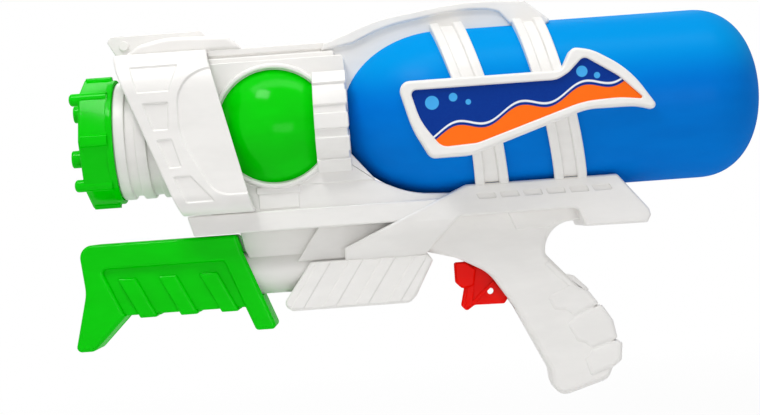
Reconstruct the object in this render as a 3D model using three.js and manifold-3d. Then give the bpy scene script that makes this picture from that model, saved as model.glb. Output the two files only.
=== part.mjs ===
// Pump action water squirter, in millimetres: a closed pressure tank in a clamshell housing, filled with air
// by the hand pump under the barrel and emptied by the trigger valve through three jets in the muzzle cap.
// X runs from the muzzle to the tank's rounded end, Y to the right-hand side and Z up. The housing is drawn
// on a datum at mid-length on its base line, and the finished group is moved to have its origin in the grip.
import * as THREE from 'three';
import { mergeVertices } from 'three/addons/utils/BufferGeometryUtils.js';
import Module from 'manifold-3d';

const wasm = await Module();
wasm.setup();

// Fits
const WALL = 2.2; // moulded housing wall
const GAP = 0.3; // between pieces that are fixed to each other
const RUN = 0.4; // radial clearance of what slides or turns
const RELIEF = 1.2; // depth of the shallow panels and grooves moulded into the outside

// Water tank
const TANK_AXIS_Z = 58;
const TANK_RADIUS = 53.5;
const TANK_WALL = 1.6;
const TANK_FRONT_X = -23;
const TANK_FRONT_DOME = 68;
const TANK_REAR_X = 244.8;
const TANK_REAR_DOME = 40.5;
const TANK_REAR_FULLNESS = 2.25; // 2 is an ellipse, more is squarer
const TANK_NECK_RADIUS = 8.7;
const TANK_NECK_LENGTH = 12;
const SPIGOT_RADIUS = 2.4;
const SPIGOT_BORE = 1.2;
const SPIGOT_LENGTH = 10;
const AIR_INLET_X = 30;

// Hoses and ducts
const HOSE_RADIUS = 4;
const HOSE_BORE = SPIGOT_RADIUS + 0.5;
const HOSE_GRIP = 5; // length of spigot that a hose end covers
const DUCT_RADIUS = 11;
const DUCT_WALL = 2;
const DUCT_OVERLAP = 6;

// Housing: half widths of the parts of the clamshell, from the parting plane
const BODY_HALF = 28;
const BEAM_HALF = 31;
const RAIL_HALF = 32;
const GRIP_HALF = 15;
const GUARD_HALF = 20;
const WEB_HALF = 9;
const WEB_STEP_HALF = 14; // thicker rear part of the web
const BRACE_FOOT_HALF = 19.5; // the brace draws in to this behind the guard's face
const SPINE_HALF = 14;
const RIDGE_HALF = 21;
const ARCH_HALF = 21;
const ARCH_WEB_HALF = 18;
const HOOD_HALF = 15;
const FLANGE_HALF = 2;
const RAIL_TOP_Z = 10.4;
const RAIL_BOTTOM_Z = -9;
const GUARD_TOP_Z = -31.2;
const BEAM_TOP_Z = 2.9;
const BEAM_BOTTOM_Z = -9.7;
const BODY_FRONT_X = -106;
const BODY_REAR_X = -15.4;
const BODY_TOP_Z = 97;
const SPINE_FRONT_X = -157;
const SPINE_REAR_X = -24;
const SPINE_TOP_Z = 107;
const SPINE_DEEP = 4.6;
const RIDGE_TOP_Z = 100.6;
const RIDGE_REAR_X = -22;
const ARCH_RISE = 13.4; // crest of the arch above the tank
const ARCH_SKIRT = 5;

// Ball windows and ribbed collar
const BALL_X = -62.2;
const BALL_Z = 55.5;
const BALL_RADIUS = 45;
const BALL_WALL = 2;
const WINDOW_RADIUS = 35.5;
const WINDOW_RIM = 3.7;
const WINDOW_STAND = 3.4;
const COLLAR_FRONT_X = -36.6;
const COLLAR_RADIUS = 44.6;
const COLLAR_HALF_ANGLE = 43;
const COLLAR_BAR = 1.6;
const COLLAR_BAR_ANGLE = 11.4;
const COLLAR_BAR_PITCH = 18.6;
const COLLAR_BARS = 5;

// Front shroud
const SHROUD_HALF = 46;
const SHROUD_TOP_Z = 107;
const SHROUD_TOP_ROUND = 26;
const SHROUD_FOOT_ROUND = 13;
const SHROUD_WALL = 2.4;
const SHROUD_LIP = 2; // how far its feet reach in over the beam

// Muzzle
const MUZZLE_Z = 53.7;
const NECK_RADIUS = 37.4;
const NECK_GROOVE = 2.2;
const NECK_RIBS = 3;
const NECK_RIB = 7;
const NECK_PITCH = 13;
const NECK_WALL = 3;
const NECK_FRONT_X = -178;
const NECK_REAR_X = -116;
const CAP_FRONT_X = -183;
const CAP_REAR_X = -162;
const CAP_RADIUS = 41.4;
const CAP_FLANGE_RADIUS = 39.6;
const CAP_FLANGE = 3;
const CAP_WALL = 2.5;
const CAP_SIDES = 8;
const PEG_RADIUS = 3.9;
const PEG_CIRCLE = 38;
const PEG_STAND = 6;
const JET_COUNT = 3;
const JET_CIRCLE = 19.5;
const JET_RADIUS = 5.5;
const JET_BORE = 1.6;
const JET_STAND = 8;
const MANIFOLD_RADIUS = 27;
const MANIFOLD_DEEP = 8;
const PIPE_RADIUS = SPIGOT_RADIUS;
const PIPE_BORE = SPIGOT_BORE;
const PIPE_DROP_Z = 28;

// Pump
const PUMP_Z = -36;
const CYLINDER_RADIUS = 13.6;
const CYLINDER_BORE = 11.2;
const CYLINDER_FRONT_X = -170;
const CYLINDER_REAR_X = -4;
const PLUG_DEEP = 6;
const PLUG_FLANGE = 4;
const ROD_RADIUS = 4;
const PISTON_LENGTH = 10;
const PISTON_RING = 3.4;
const PISTON_REAR_X = -14;

// Pump handle
const HANDLE_HALF = 19;
const HANDLE_WALL = 2.4;
const HANDLE_TOP_Z = -10.6;
const HANDLE_BOTTOM_Z = -56.5;
const HANDLE_FRONT_X = -191.7;
const HANDLE_REAR_X = -91.5;
const HANDLE_RIB_XS = [-150, -112];
const HANDLE_RIB = 2;
const HANDLE_BAR_COUNT = 3;
const HANDLE_BAR_PITCH = 25.7;

// Grip, trigger and valve
const TRIGGER_HALF = 4;
const TRIGGER_PAD_HALF = 6;
const TRIGGER_PIVOT_X = 60;
const TRIGGER_PIVOT_Z = -24;
const PIN_RADIUS = 2;
const PIN_BOSS = 4.2;
const TRIGGER_REAR_X = 77;
const VALVE_Z = -43;
const VALVE_RADIUS = 7;
const VALVE_BORE = 3.6;
const VALVE_FRONT_X = 82.5;
const VALVE_REAR_X = 101;
const VALVE_WALL = 2;
const PLUNGER_RADIUS = 3.2;
const PLUNGER_LENGTH = 15;
const VALVE_OUTLET_X = 85.8;
const VALVE_INLET_X = 95.2;
const VALVE_SPIGOT_TOP_Z = -27;
const SPRING_WIRE = 0.45;
const SPRING_RADIUS = 2.5;
const SPRING_TURNS = 3;

// Tank straps and labels
const FRAME_STAND = 7; // label frame's face outside the tank
const LABEL_SINK = 2;
const LABEL_THICK = 0.5;
const STRAP_THICK = 2;
const STRAP_RIB = 4.2;
const STRAP_RIB_WIDTH = 6;

// Screws
const SCREW_HEAD_RADIUS = 3;
const SCREW_HEAD = 2;
const SCREW_RADIUS = 1.4;
const SCREW_DEEP = 8; // thread in the left half
const BOSS_RADIUS = 3.6;

// Hand reference: the middle of the grip where a hand closes
const GRIP_X = 108;
const GRIP_Z = -80;

const ARC_SAG = 0.3; // most that a rounded corner of an outline may fall short of its true arc
const ROUND_STEPS = 1;
const TURN_STEPS = 24;
const FAR = 400;

// Turns a closed three.js geometry into a solid that can be joined and cut.
function solid(geometry) {
  const loose = geometry.index ? geometry.toNonIndexed() : geometry;
  const bare = new THREE.BufferGeometry();
  bare.setAttribute('position', loose.getAttribute('position'));
  const merged = mergeVertices(bare, 1e-4);
  const corners = merged.index.array;
  const triangles = [];
  for (let i = 0; i < corners.length; i += 3) {
    const [a, b, c] = corners.slice(i, i + 3);
    if (a !== b && b !== c && c !== a) triangles.push(a, b, c);
  }
  return new wasm.Manifold(new wasm.Mesh({
    numProp: 3,
    vertProperties: merged.getAttribute('position').array,
    triVerts: new Uint32Array(triangles),
  }));
}

const join = (...bodies) => bodies.flat().reduce((whole, body) => whole.add(body));

// Outline through corners [x, z, radius], each corner rounded by an arc of its radius. A corner that sticks
// out and is no rounder than least stays sharp, so that the outline can be drawn in by that much.
function contour(corners, least = 0) {
  const flat = corners.map(([x, z]) => new THREE.Vector2(x, z));
  const area = THREE.ShapeUtils.area(flat);
  const points = [];
  flat.forEach((here, i) => {
    const radius = corners[i][2] ?? 0;
    const before = flat.at(i - 1).clone().sub(here).normalize();
    const after = flat[(i + 1) % flat.length].clone().sub(here).normalize();
    const half = Math.acos(THREE.MathUtils.clamp(before.dot(after), -1, 1)) / 2;
    const sticksOut = before.cross(after) * area < 0;
    if (radius === 0 || (sticksOut && radius <= least)) {
      points.push(here);
      return;
    }
    const middle = before.clone().add(after).normalize();
    const centre = here.clone().addScaledVector(middle, radius / Math.sin(half));
    const sweep = Math.PI - 2 * half;
    const steps = Math.max(1, Math.ceil(sweep / (2 * Math.acos(1 - Math.min(1, ARC_SAG / radius)))));
    const turnWay = Math.sign(after.cross(before));
    for (let step = 0; step <= steps; step += 1) {
      const turn = turnWay * sweep * (step / steps - 0.5);
      points.push(middle.clone().multiplyScalar(-radius).rotateAround(new THREE.Vector2(), turn).add(centre));
    }
  });
  return new THREE.Shape(points);
}

// Plate with a side outline, from -half to +half in Y, its outline drawn in by inset and its edges rounded
// by edge.
function slab(outline, half, edge = 0, inset = 0) {
  const geometry = new THREE.ExtrudeGeometry(contour(outline, edge + inset), {
    depth: 2 * (half - edge),
    bevelEnabled: edge + inset > 0,
    bevelThickness: edge,
    bevelSize: edge,
    bevelOffset: -edge - inset,
    bevelSegments: ROUND_STEPS,
  });
  geometry.rotateX(Math.PI / 2);
  geometry.translate(0, half - edge, 0);
  return solid(geometry);
}

// Plate between two planes of constant Y.
const sheet = (outline, fromY, toY) => {
  const geometry = new THREE.ExtrudeGeometry(contour(outline), {
    depth: toY - fromY, bevelEnabled: false,
  });
  geometry.rotateX(Math.PI / 2);
  geometry.translate(0, toY, 0);
  return solid(geometry);
};

// Bar with a section [y, z] carried along X.
function bar(section, fromX, toX, steps = 6) {
  const geometry = new THREE.ExtrudeGeometry(Array.isArray(section) ? contour(section) : section, {
    depth: toX - fromX, curveSegments: steps, bevelEnabled: false,
  });
  geometry.applyMatrix4(new THREE.Matrix4().makeBasis(
    new THREE.Vector3(0, 1, 0), new THREE.Vector3(0, 0, 1), new THREE.Vector3(1, 0, 0),
  ));
  geometry.translate(fromX, 0, 0);
  return solid(geometry);
}

function block(fromX, toX, fromY, toY, fromZ, toZ) {
  const geometry = new THREE.BoxGeometry(toX - fromX, toY - fromY, toZ - fromZ);
  geometry.translate((fromX + toX) / 2, (fromY + toY) / 2, (fromZ + toZ) / 2);
  return solid(geometry);
}

const TURNS = {
  x: (geometry) => geometry.rotateZ(-Math.PI / 2),
  y: (geometry) => geometry,
  z: (geometry) => geometry.rotateX(Math.PI / 2),
};

// Solid turned from a profile of [distance along the axis, radius] about an axis through a point.
function turned(axis, profile, [x, y, z], steps = TURN_STEPS) {
  const points = profile.map(([along, radius]) => new THREE.Vector2(radius, along));
  if (profile[0][1] > 0) points.push(points[0].clone());
  const geometry = new THREE.LatheGeometry(points, steps);
  TURNS[axis](geometry);
  geometry.translate(x, y, z);
  const body = solid(geometry);
  if (body.volume() > 0) return body;
  return solid(flipped(geometry));
}

function flipped(geometry) {
  const loose = geometry.toNonIndexed();
  const p = loose.getAttribute('position');
  for (let i = 0; i < p.count; i += 3) {
    const [x, y, z] = [p.getX(i), p.getY(i), p.getZ(i)];
    p.setXYZ(i, p.getX(i + 1), p.getY(i + 1), p.getZ(i + 1));
    p.setXYZ(i + 1, x, y, z);
  }
  return loose;
}

const rod = (axis, radius, from, to, at, steps = 16) => turned(axis, [
  [from, 0], [from, radius], [to, radius], [to, 0],
], at, steps);

const pipe = (axis, radius, bore, from, to, at, steps = 16) => turned(axis, [
  [from, bore], [from, radius], [to, radius], [to, bore],
], at, steps);

// Round bar or tube carried along a curve through points.
function carried(points, radius, bore, steps, sides = 8, tension = 0.5) {
  const route = points.map((p) => new THREE.Vector3(...p));
  const curve = new THREE.CatmullRomCurve3(route, false, 'catmullrom', tension);
  const section = new THREE.Shape();
  section.absarc(0, 0, radius, 0, 2 * Math.PI, false);
  if (bore > 0) section.holes.push(new THREE.Path().absarc(0, 0, bore, 0, 2 * Math.PI, true));
  return solid(new THREE.ExtrudeGeometry(section, { steps, curveSegments: sides, extrudePath: curve }));
}

// Sector of a ring about the X direction through (0, centreZ), angles in degrees measured from +Y towards +Z.
function sector(inner, outer, middle, spread, fromX, toX, centreZ, steps) {
  const from = THREE.MathUtils.degToRad(middle - spread);
  const to = THREE.MathUtils.degToRad(middle + spread);
  const shape = new THREE.Shape();
  shape.absarc(0, centreZ, outer, from, to, false);
  if (inner > 0) shape.absarc(0, centreZ, inner, to, from, true);
  else shape.lineTo(0, centreZ);
  return bar(shape, fromX, toX, steps);
}

const shifted = (outline, dx, dz) => outline.map(([x, z, radius]) => [x + dx, z + dz, radius]);

const LOOKS = {
  white: { color: 0xf2f0ec, roughness: 0.38 },
  green: { color: 0x08c410, roughness: 0.3 },
  blue: { color: 0x0a74d2, roughness: 0.35 },
  red: { color: 0xee1c0a, roughness: 0.32 },
  clear: { color: 0xdfe8ea, roughness: 0.4 },
  grey: { color: 0x9aa0a4, roughness: 0.5 },
  rubber: { color: 0x1d1d1f, roughness: 0.8 },
  steel: { color: 0xb9bcc0, roughness: 0.3, metalness: 1 },
  print: { color: 0x0a3f96, roughness: 0.4 },
};

const squirter = new THREE.Group();
squirter.name = 'pump_action_water_squirter';

// Adds a solid to the group as a named mesh; a mirrored one is the right-hand twin of a left-hand solid.
function place(name, body, look, mirrored = false) {
  const result = body.getMesh();
  const geometry = new THREE.BufferGeometry();
  geometry.setAttribute('position', new THREE.BufferAttribute(new Float32Array(result.vertProperties), 3));
  geometry.setIndex(new THREE.BufferAttribute(new Uint32Array(result.triVerts), 1));
  const mesh = new THREE.Mesh(geometry, new THREE.MeshStandardMaterial({ name: look, ...LOOKS[look] }));
  mesh.name = name;
  if (mirrored) mesh.scale.y = -1;
  squirter.add(mesh);
}

const tankTop = TANK_AXIS_Z + TANK_RADIUS;
const tankBottom = TANK_AXIS_Z - TANK_RADIUS;
const frameFace = TANK_RADIUS + FRAME_STAND;

// Tank profile: a domed end on either side of a straight barrel, drawn in by inset.
function tankProfile(inset, steps) {
  const radius = TANK_RADIUS - inset;
  const profile = [];
  const frontX = TANK_FRONT_X + TANK_FRONT_DOME;
  const rearX = TANK_REAR_X - TANK_REAR_DOME;
  const fullness = 2 / TANK_REAR_FULLNESS;
  for (let i = 0; i <= steps; i += 1) {
    const turn = (i / steps) * Math.PI / 2;
    profile.push([frontX - (TANK_FRONT_DOME - inset) * Math.cos(turn), i === 0 ? 0 : radius * Math.sin(turn)]);
  }
  for (let i = 0; i <= steps; i += 1) {
    const turn = (i / steps) * Math.PI / 2;
    const along = (TANK_REAR_DOME - inset) * Math.sin(turn) ** fullness;
    profile.push([rearX + along, i === steps ? 0 : radius * Math.cos(turn) ** fullness]);
  }
  return profile;
}

const tankBody = (inset, steps = 6) => turned('x', tankProfile(inset, steps), [0, 0, TANK_AXIS_Z]);
const tankRoom = tankBody(-RUN);
const spigotFoot = tankBottom - SPIGOT_LENGTH;

function waterTank() {
  const neckFront = TANK_FRONT_X - TANK_NECK_LENGTH;
  const spigots = [AIR_INLET_X, VALVE_INLET_X];
  const outside = join(
    tankBody(0),
    rod('x', TANK_NECK_RADIUS, neckFront, TANK_FRONT_X + 4, [0, 0, TANK_AXIS_Z], 16),
    spigots.map((x) => rod('z', SPIGOT_RADIUS, spigotFoot, tankBottom + 3, [x, 0, 0], 8)),
  );
  const inside = join(
    tankBody(TANK_WALL, 3),
    rod('x', TANK_NECK_RADIUS - TANK_WALL, neckFront - 1, TANK_FRONT_X + 6, [0, 0, TANK_AXIS_Z], 16),
    spigots.map((x) => rod('z', SPIGOT_BORE, spigotFoot - 1, tankBottom + 5, [x, 0, 0], 6)),
  );
  return outside.subtract(inside);
}

// Side outlines of the housing
const railOutline = [
  [54, RAIL_TOP_Z, 3], [148.5, RAIL_TOP_Z, 3], [167, -12.5, 4], [168, -16.5, 1], [165.5, -21.2, 1.5],
  [127, -20.8, 1.5], [122.6, RAIL_BOTTOM_Z, 3], [49, RAIL_BOTTOM_Z, 2], [27.5, GUARD_TOP_Z + 0.9, 1],
  [27.5, GUARD_TOP_Z - 4.8], [-24, GUARD_TOP_Z - 4.8], [-24, GUARD_TOP_Z + 7.4],
];
const braceEndX = 49;
const beamOutline = [
  [-120.3, BEAM_TOP_Z, 1], [46, BEAM_TOP_Z], [46, BEAM_BOTTOM_Z], [-116.8, BEAM_BOTTOM_Z, 1],
];
const cradleEnd = tankBottom + 1.3;
const bodyFoot = Math.min(BEAM_TOP_Z - 3, cradleEnd - 5.9);
const bodyOutline = [
  [BODY_FRONT_X, bodyFoot], [BODY_FRONT_X, BODY_TOP_Z, 3], [BODY_REAR_X, BODY_TOP_Z, 3],
  [BODY_REAR_X, tankBottom + 30.5], [TANK_FRONT_X + 21, tankBottom + 14, 40],
  [TANK_FRONT_X + 43, tankBottom + 3, 60], [50, cradleEnd], [50, bodyFoot],
];
const gripOutline = [
  [27, -30], [46, -35.3, 20], [65.5, -46, 26], [80.5, -69, 24], [100, -110.5, 4], [100.8, -118, 4],
  [104, -128.2, 8], [136.5, -118.6, 8], [141, -110.3, 0.8], [145.4, -107, 1.5], [146.6, -96, 1.5],
  [143.6, -92.8, 1], [141.2, -84, 0.8], [141.8, -81.5, 0.8], [135.6, -70.6, 1], [133.4, -70.2, 0.8],
  [128, -63.6, 0.8], [128.2, -61, 1], [119.5, -51.8, 1.5], [116.6, -51.4, 1], [102.3, -37, 8],
  [102.3, -17, 18.5], [126, -17], [126, 2], [42, 2], [27, -8],
];
const guardOutline = [
  [-46.2, GUARD_TOP_Z, 1.5], [28.2, GUARD_TOP_Z, 2], [31, -35.4, 2], [19, -57, 6], [14.5, -61.2, 6],
  [-59.8, -61.2, 4], [-65, -56.6, 4],
];
const webOutline = [[-86, -6], [24, -6], [-16, -30], [-80, -30]];
const webStepOutline = [[-37, -6], [24, -6], [-16, -30], [-54.5, -30]];
const archCrest = tankTop + ARCH_RISE;
const archOutline = [
  [-30, SPINE_TOP_Z - 6], [-28, SPINE_TOP_Z - 1.5], [6, archCrest - 6.8, 90], [60, archCrest + 1, 220],
  [99.5, archCrest - 1.4, 5], [115.8, archCrest - 15.4, 2], [112, archCrest - 17.6, 2],
  [89.5, archCrest - 15.6, 1.5], [83, archCrest - ARCH_SKIRT - 2.6, 4], [76, archCrest - ARCH_SKIRT - 0.6, 6],
  [58, archCrest - ARCH_SKIRT + 0.6, 120], [10, archCrest - ARCH_SKIRT - 7, 90], [-10, SPINE_TOP_Z - 3],
];
const archWebOutline = [
  [-30, SPINE_TOP_Z - 8], [-28, SPINE_TOP_Z - 3], [6, archCrest - 8.6, 90], [60, archCrest - 1.4, 220],
  [98, archCrest - 3, 4], [112, archCrest - 15, 2], [108, TANK_AXIS_Z + 30], [0, TANK_AXIS_Z + 30],
  [-16, TANK_AXIS_Z + 16], [-30, TANK_AXIS_Z + 16],
];
const spineOutline = [
  [SPINE_FRONT_X, SPINE_TOP_Z, 1], [SPINE_REAR_X, SPINE_TOP_Z], [SPINE_REAR_X, SPINE_TOP_Z - SPINE_DEEP],
  [SPINE_FRONT_X + 2, SPINE_TOP_Z - SPINE_DEEP, 1],
];
const alongSpine = (rearX, topZ) => [
  [BODY_FRONT_X, topZ], [rearX, topZ], [rearX, BODY_TOP_Z - 1], [BODY_FRONT_X, BODY_TOP_Z - 1],
];
const hoodOutline = shifted([
  [-156, -1], [-145, 6.6, 30], [-126, 10.3, 60], [-88, 8.4, 3], [-78.6, -1],
], 0, SPINE_TOP_Z);
const flangeOutline = shifted([
  [-160, -1], [-166.6, 10.6, 2], [-164, 14, 2], [-106.6, 14.2, 3], [-102, 9], [-102, -1],
], 0, SPINE_TOP_Z);
const flangeEye = [-155.8, 0, SPINE_TOP_Z + 7.4];
const beamMiddle = (BEAM_TOP_Z + BEAM_BOTTOM_Z) / 2;

// Every screw runs in from the right: [name, x, z, half width of the housing there].
const housingScrews = [
  ['housing_screw_grip_base', 116, -112, GRIP_HALF],
  ['housing_screw_rail', 150, RAIL_TOP_Z - 14.4, RAIL_HALF],
  ['housing_screw_guard_front', -42, -55.5, GUARD_HALF],
  ['housing_screw_guard_rear', 12, -55.5, GUARD_HALF],
  ['housing_screw_beam', -111, beamMiddle, BEAM_HALF],
  ['housing_screw_arch', -22, SPINE_TOP_Z - 5.5, ARCH_WEB_HALF],
];

const ballHole = rod('y', WINDOW_RADIUS, -FAR, FAR, [BALL_X, 0, BALL_Z]);
const ballRoom = turned('y', Array.from({ length: 13 }, (_, i) => {
  const turn = Math.PI * i / 12;
  return [-(BALL_RADIUS + RUN) * Math.cos(turn), i % 12 ? (BALL_RADIUS + RUN) * Math.sin(turn) : 0];
}), [BALL_X, 0, BALL_Z]);
const plugRear = CYLINDER_REAR_X + GAP + PLUG_FLANGE;
const cylinderRoom = rod('x', CYLINDER_RADIUS + GAP, -FAR, plugRear + GAP, [0, 0, PUMP_Z], 24);
const neckRoom = rod('x', NECK_RADIUS + GAP, -FAR, NECK_REAR_X + GAP, [0, 0, MUZZLE_Z], TURN_STEPS);

// Raised rim of a ball window, on both sides.
const windowRims = [-1, 1].map((side) => {
  const rim = [
    [0, WINDOW_RADIUS], [WINDOW_STAND, WINDOW_RADIUS + 0.6],
    [WINDOW_STAND, WINDOW_RADIUS + WINDOW_RIM - 1], [0, WINDOW_RADIUS + WINDOW_RIM],
  ];
  const profile = rim.map(([along, radius]) => [side * (BODY_HALF - 1 + along), radius]);
  return turned('y', profile, [BALL_X, 0, BALL_Z]);
});

// Ribbed half collar between the ball window and the tank, on one side.
function collar(middle) {
  const bars = Array.from({ length: COLLAR_BARS }, (_, i) => sector(
    COLLAR_RADIUS - 1, COLLAR_RADIUS + COLLAR_BAR, middle + (i - (COLLAR_BARS - 1) / 2) * COLLAR_BAR_PITCH,
    COLLAR_BAR_ANGLE / 2, COLLAR_FRONT_X, BODY_REAR_X, BALL_Z, 1,
  ));
  const skin = sector(
    BODY_HALF * 0.8, COLLAR_RADIUS, middle, COLLAR_HALF_ANGLE, COLLAR_FRONT_X, BODY_REAR_X, BALL_Z, 4,
  );
  const room = sector(
    0, COLLAR_RADIUS - WALL, middle, COLLAR_HALF_ANGLE - 3, COLLAR_FRONT_X + WALL, BODY_REAR_X + 1, BALL_Z, 3,
  );
  const wallRoom = block(-FAR, FAR, -BODY_HALF + WALL, BODY_HALF - WALL, -FAR, FAR);
  return join(skin, bars).subtract(join(room, wallRoom));
}

// Slanted raised bars on both faces of the pump guard.
const guardBars = [0, 1, 2, 3].map((i) => slab(shifted([
  [-61.5, -60.2], [-52.5, -60.2], [-33, -31.4], [-42, -31.4],
], i * 20.4, 0), GUARD_HALF + 1.1, 1));

// Shallow slots along both faces of the rail.
const railSlots = [0, 1, 2, 3, 4, 5].map((i) => {
  const slot = shifted([[60.4, 4.4], [71.4, 4.4], [73, 1], [62, 1]], i * 14.4, 0);
  return slab(slot, RAIL_HALF + 1).subtract(slab(slot, RAIL_HALF - RELIEF));
});

// Stepped palm pads on both faces of the grip.
const palmPads = [
  [
    [101.5, -65], [103.5, -62.6], [117.5, -56.6], [128, -62], [133.6, -71], [117, -77.4], [113, -73.4],
    [105, -72.6],
  ],
  [
    [112.4, -82], [117.5, -77.8], [134.2, -71.4], [141, -82], [143.4, -93.4], [126.4, -98.6], [123.4, -94.9],
    [118, -93.4],
  ],
  [[122, -105], [126.8, -99.2], [143.6, -94], [145.6, -96.2], [144.6, -106.4], [140.2, -110.6], [125, -116.4]],
].map((pad) => slab(pad, GRIP_HALF + RELIEF));

// Post that a screw runs in, from wall to wall.
const screwBoss = ([, x, z, half]) => rod('y', BOSS_RADIUS, -half + 1, half - 1, [x, 0, z], 8);

// Rail and brace, drawn in by inset: below the rail the brace's sides slope in towards the guard.
function railAndBrace(edge, inset) {
  const slope = (RAIL_HALF - BRACE_FOOT_HALF) / (RAIL_BOTTOM_Z - GUARD_TOP_Z);
  const foot = BRACE_FOOT_HALF - inset - slope * 10;
  const beside = [-1, 1].map((side) => bar([
    [side * (RAIL_HALF - inset), RAIL_BOTTOM_Z], [side * foot, GUARD_TOP_Z - 10],
    [side * (RAIL_HALF + 2), GUARD_TOP_Z - 10], [side * (RAIL_HALF + 2), RAIL_BOTTOM_Z],
  ], -FAR, braceEndX));
  return slab(railOutline, RAIL_HALF - inset, edge, inset).subtract(join(beside));
}

// The clamshell before it is parted: outside forms joined, hollowed, then fitted round what it carries.
function housing() {
  const outside = join(
    railAndBrace(1.6, 0), slab(bodyOutline, BODY_HALF, 2), slab(beamOutline, BEAM_HALF, 1.2),
    slab(gripOutline, GRIP_HALF, 3), slab(guardOutline, GUARD_HALF, 2), slab(webOutline, WEB_HALF),
    slab(webStepOutline, WEB_STEP_HALF), guardBars, palmPads,
  );
  const inside = join(
    railAndBrace(0, WALL), slab(bodyOutline, BODY_HALF - WALL, 0, WALL),
    slab(beamOutline, BEAM_HALF - WALL, 0, WALL), slab(gripOutline, GRIP_HALF - WALL, 0, WALL),
    slab(guardOutline, GUARD_HALF - WALL, 0, WALL), slab(webOutline, WEB_HALF - WALL, 0, WALL),
    slab(webStepOutline, WEB_STEP_HALF - WALL, 0, WALL),
  );
  const top = join(
    slab(spineOutline, SPINE_HALF, 1),
    slab(alongSpine(RIDGE_REAR_X, RIDGE_TOP_Z), RIDGE_HALF, 0.8),
    slab(alongSpine(BODY_REAR_X, SPINE_TOP_Z - 3), SPINE_HALF - 2),
    slab(archOutline, ARCH_HALF, 1.5), slab(archWebOutline, ARCH_WEB_HALF),
    slab(hoodOutline, HOOD_HALF, 3), slab(flangeOutline, FLANGE_HALF, 0.6),
    rod('y', 3.2, -FLANGE_HALF - 1.4, FLANGE_HALF + 1.4, flangeEye, 16),
  );
  const topInside = join(
    slab(archOutline, ARCH_HALF - WALL, 0, WALL * 0.7), slab(archWebOutline, ARCH_WEB_HALF - WALL, 0, WALL),
    slab(hoodOutline, HOOD_HALF - WALL, 0, WALL),
  );
  const ribs = join(
    [-50, -28, -10].map((x) => block(x, x + 2, -GUARD_HALF + 1, GUARD_HALF - 1, PUMP_Z - 23, PUMP_Z + 4)),
    [VALVE_FRONT_X + 1, VALVE_REAR_X - 3].map((x) => block(
      x, x + 2, -GRIP_HALF + 1, GRIP_HALF - 1, VALVE_Z - VALVE_RADIUS - 2, VALVE_Z + VALVE_RADIUS - 2,
    )),
  );
  const pinBosses = [-1, 1].map((side) => pipe(
    'y', PIN_BOSS, PIN_RADIUS + 0.1, side * (TRIGGER_HALF + GAP), side * (GRIP_HALF - 1),
    [TRIGGER_PIVOT_X, 0, TRIGGER_PIVOT_Z], 14,
  ));
  const bosses = housingScrews.map(screwBoss);
  const walls = join(outside.subtract(inside), windowRims)
    .subtract(ballHole.intersect(block(-FAR, FAR, -FAR, FAR, 0, BODY_TOP_Z - WALL)))
    .subtract(join(railSlots));
  const shell = join(walls, collar(0), collar(180), ribs, pinBosses).subtract(ballRoom);
  return join(shell, top.subtract(topInside), bosses);
}

// Room that the housing leaves for everything it carries.
function housingRoom() {
  const triggerSlot = block(40, 86, -TRIGGER_PAD_HALF - RUN, TRIGGER_PAD_HALF + RUN, -70, -33);
  const hosePass = block(-103, -86, 2, 16, -6, 6);
  const pipePass = rod('x', HOSE_RADIUS + GAP, -FAR, BODY_FRONT_X + 6, [0, 0, PIPE_DROP_Z], 12);
  const ductPass = rod('x', DUCT_RADIUS + GAP, -FAR, BODY_REAR_X + 2, [0, 0, TANK_AXIS_Z], 16);
  const valveRoom = rod('x', VALVE_RADIUS + GAP, VALVE_FRONT_X - 6, VALVE_REAR_X + GAP, [0, 0, VALVE_Z], 20);
  return join(
    tankRoom, cylinderRoom, neckRoom, triggerSlot, hosePass, pipePass, ductPass, valveRoom,
    [AIR_INLET_X, VALVE_INLET_X].map((x) => rod(
      'z', HOSE_RADIUS + GAP, spigotFoot - 4, tankBottom + 4, [x, 0, 0], 12,
    )),
  );
}

// Screw with its head sunk in the right half, and the room it needs.
const headSeat = (half) => half - 2 * SCREW_HEAD;
function screw([, x, z, half]) {
  const seat = headSeat(half);
  const head = rod('y', SCREW_HEAD_RADIUS, seat, seat + SCREW_HEAD, [x, 0, z], 8);
  return join(head, rod('y', SCREW_RADIUS, -SCREW_DEEP, seat + 0.5, [x, 0, z], 6));
}
function screwRoom([, x, z, half]) {
  const seat = headSeat(half) - GAP;
  return join(
    rod('y', SCREW_HEAD_RADIUS + GAP, seat, half + 4, [x, 0, z], 8),
    rod('y', SCREW_RADIUS + 0.15, -SCREW_DEEP - 1, seat + 1, [x, 0, z], 6),
  );
}

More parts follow.
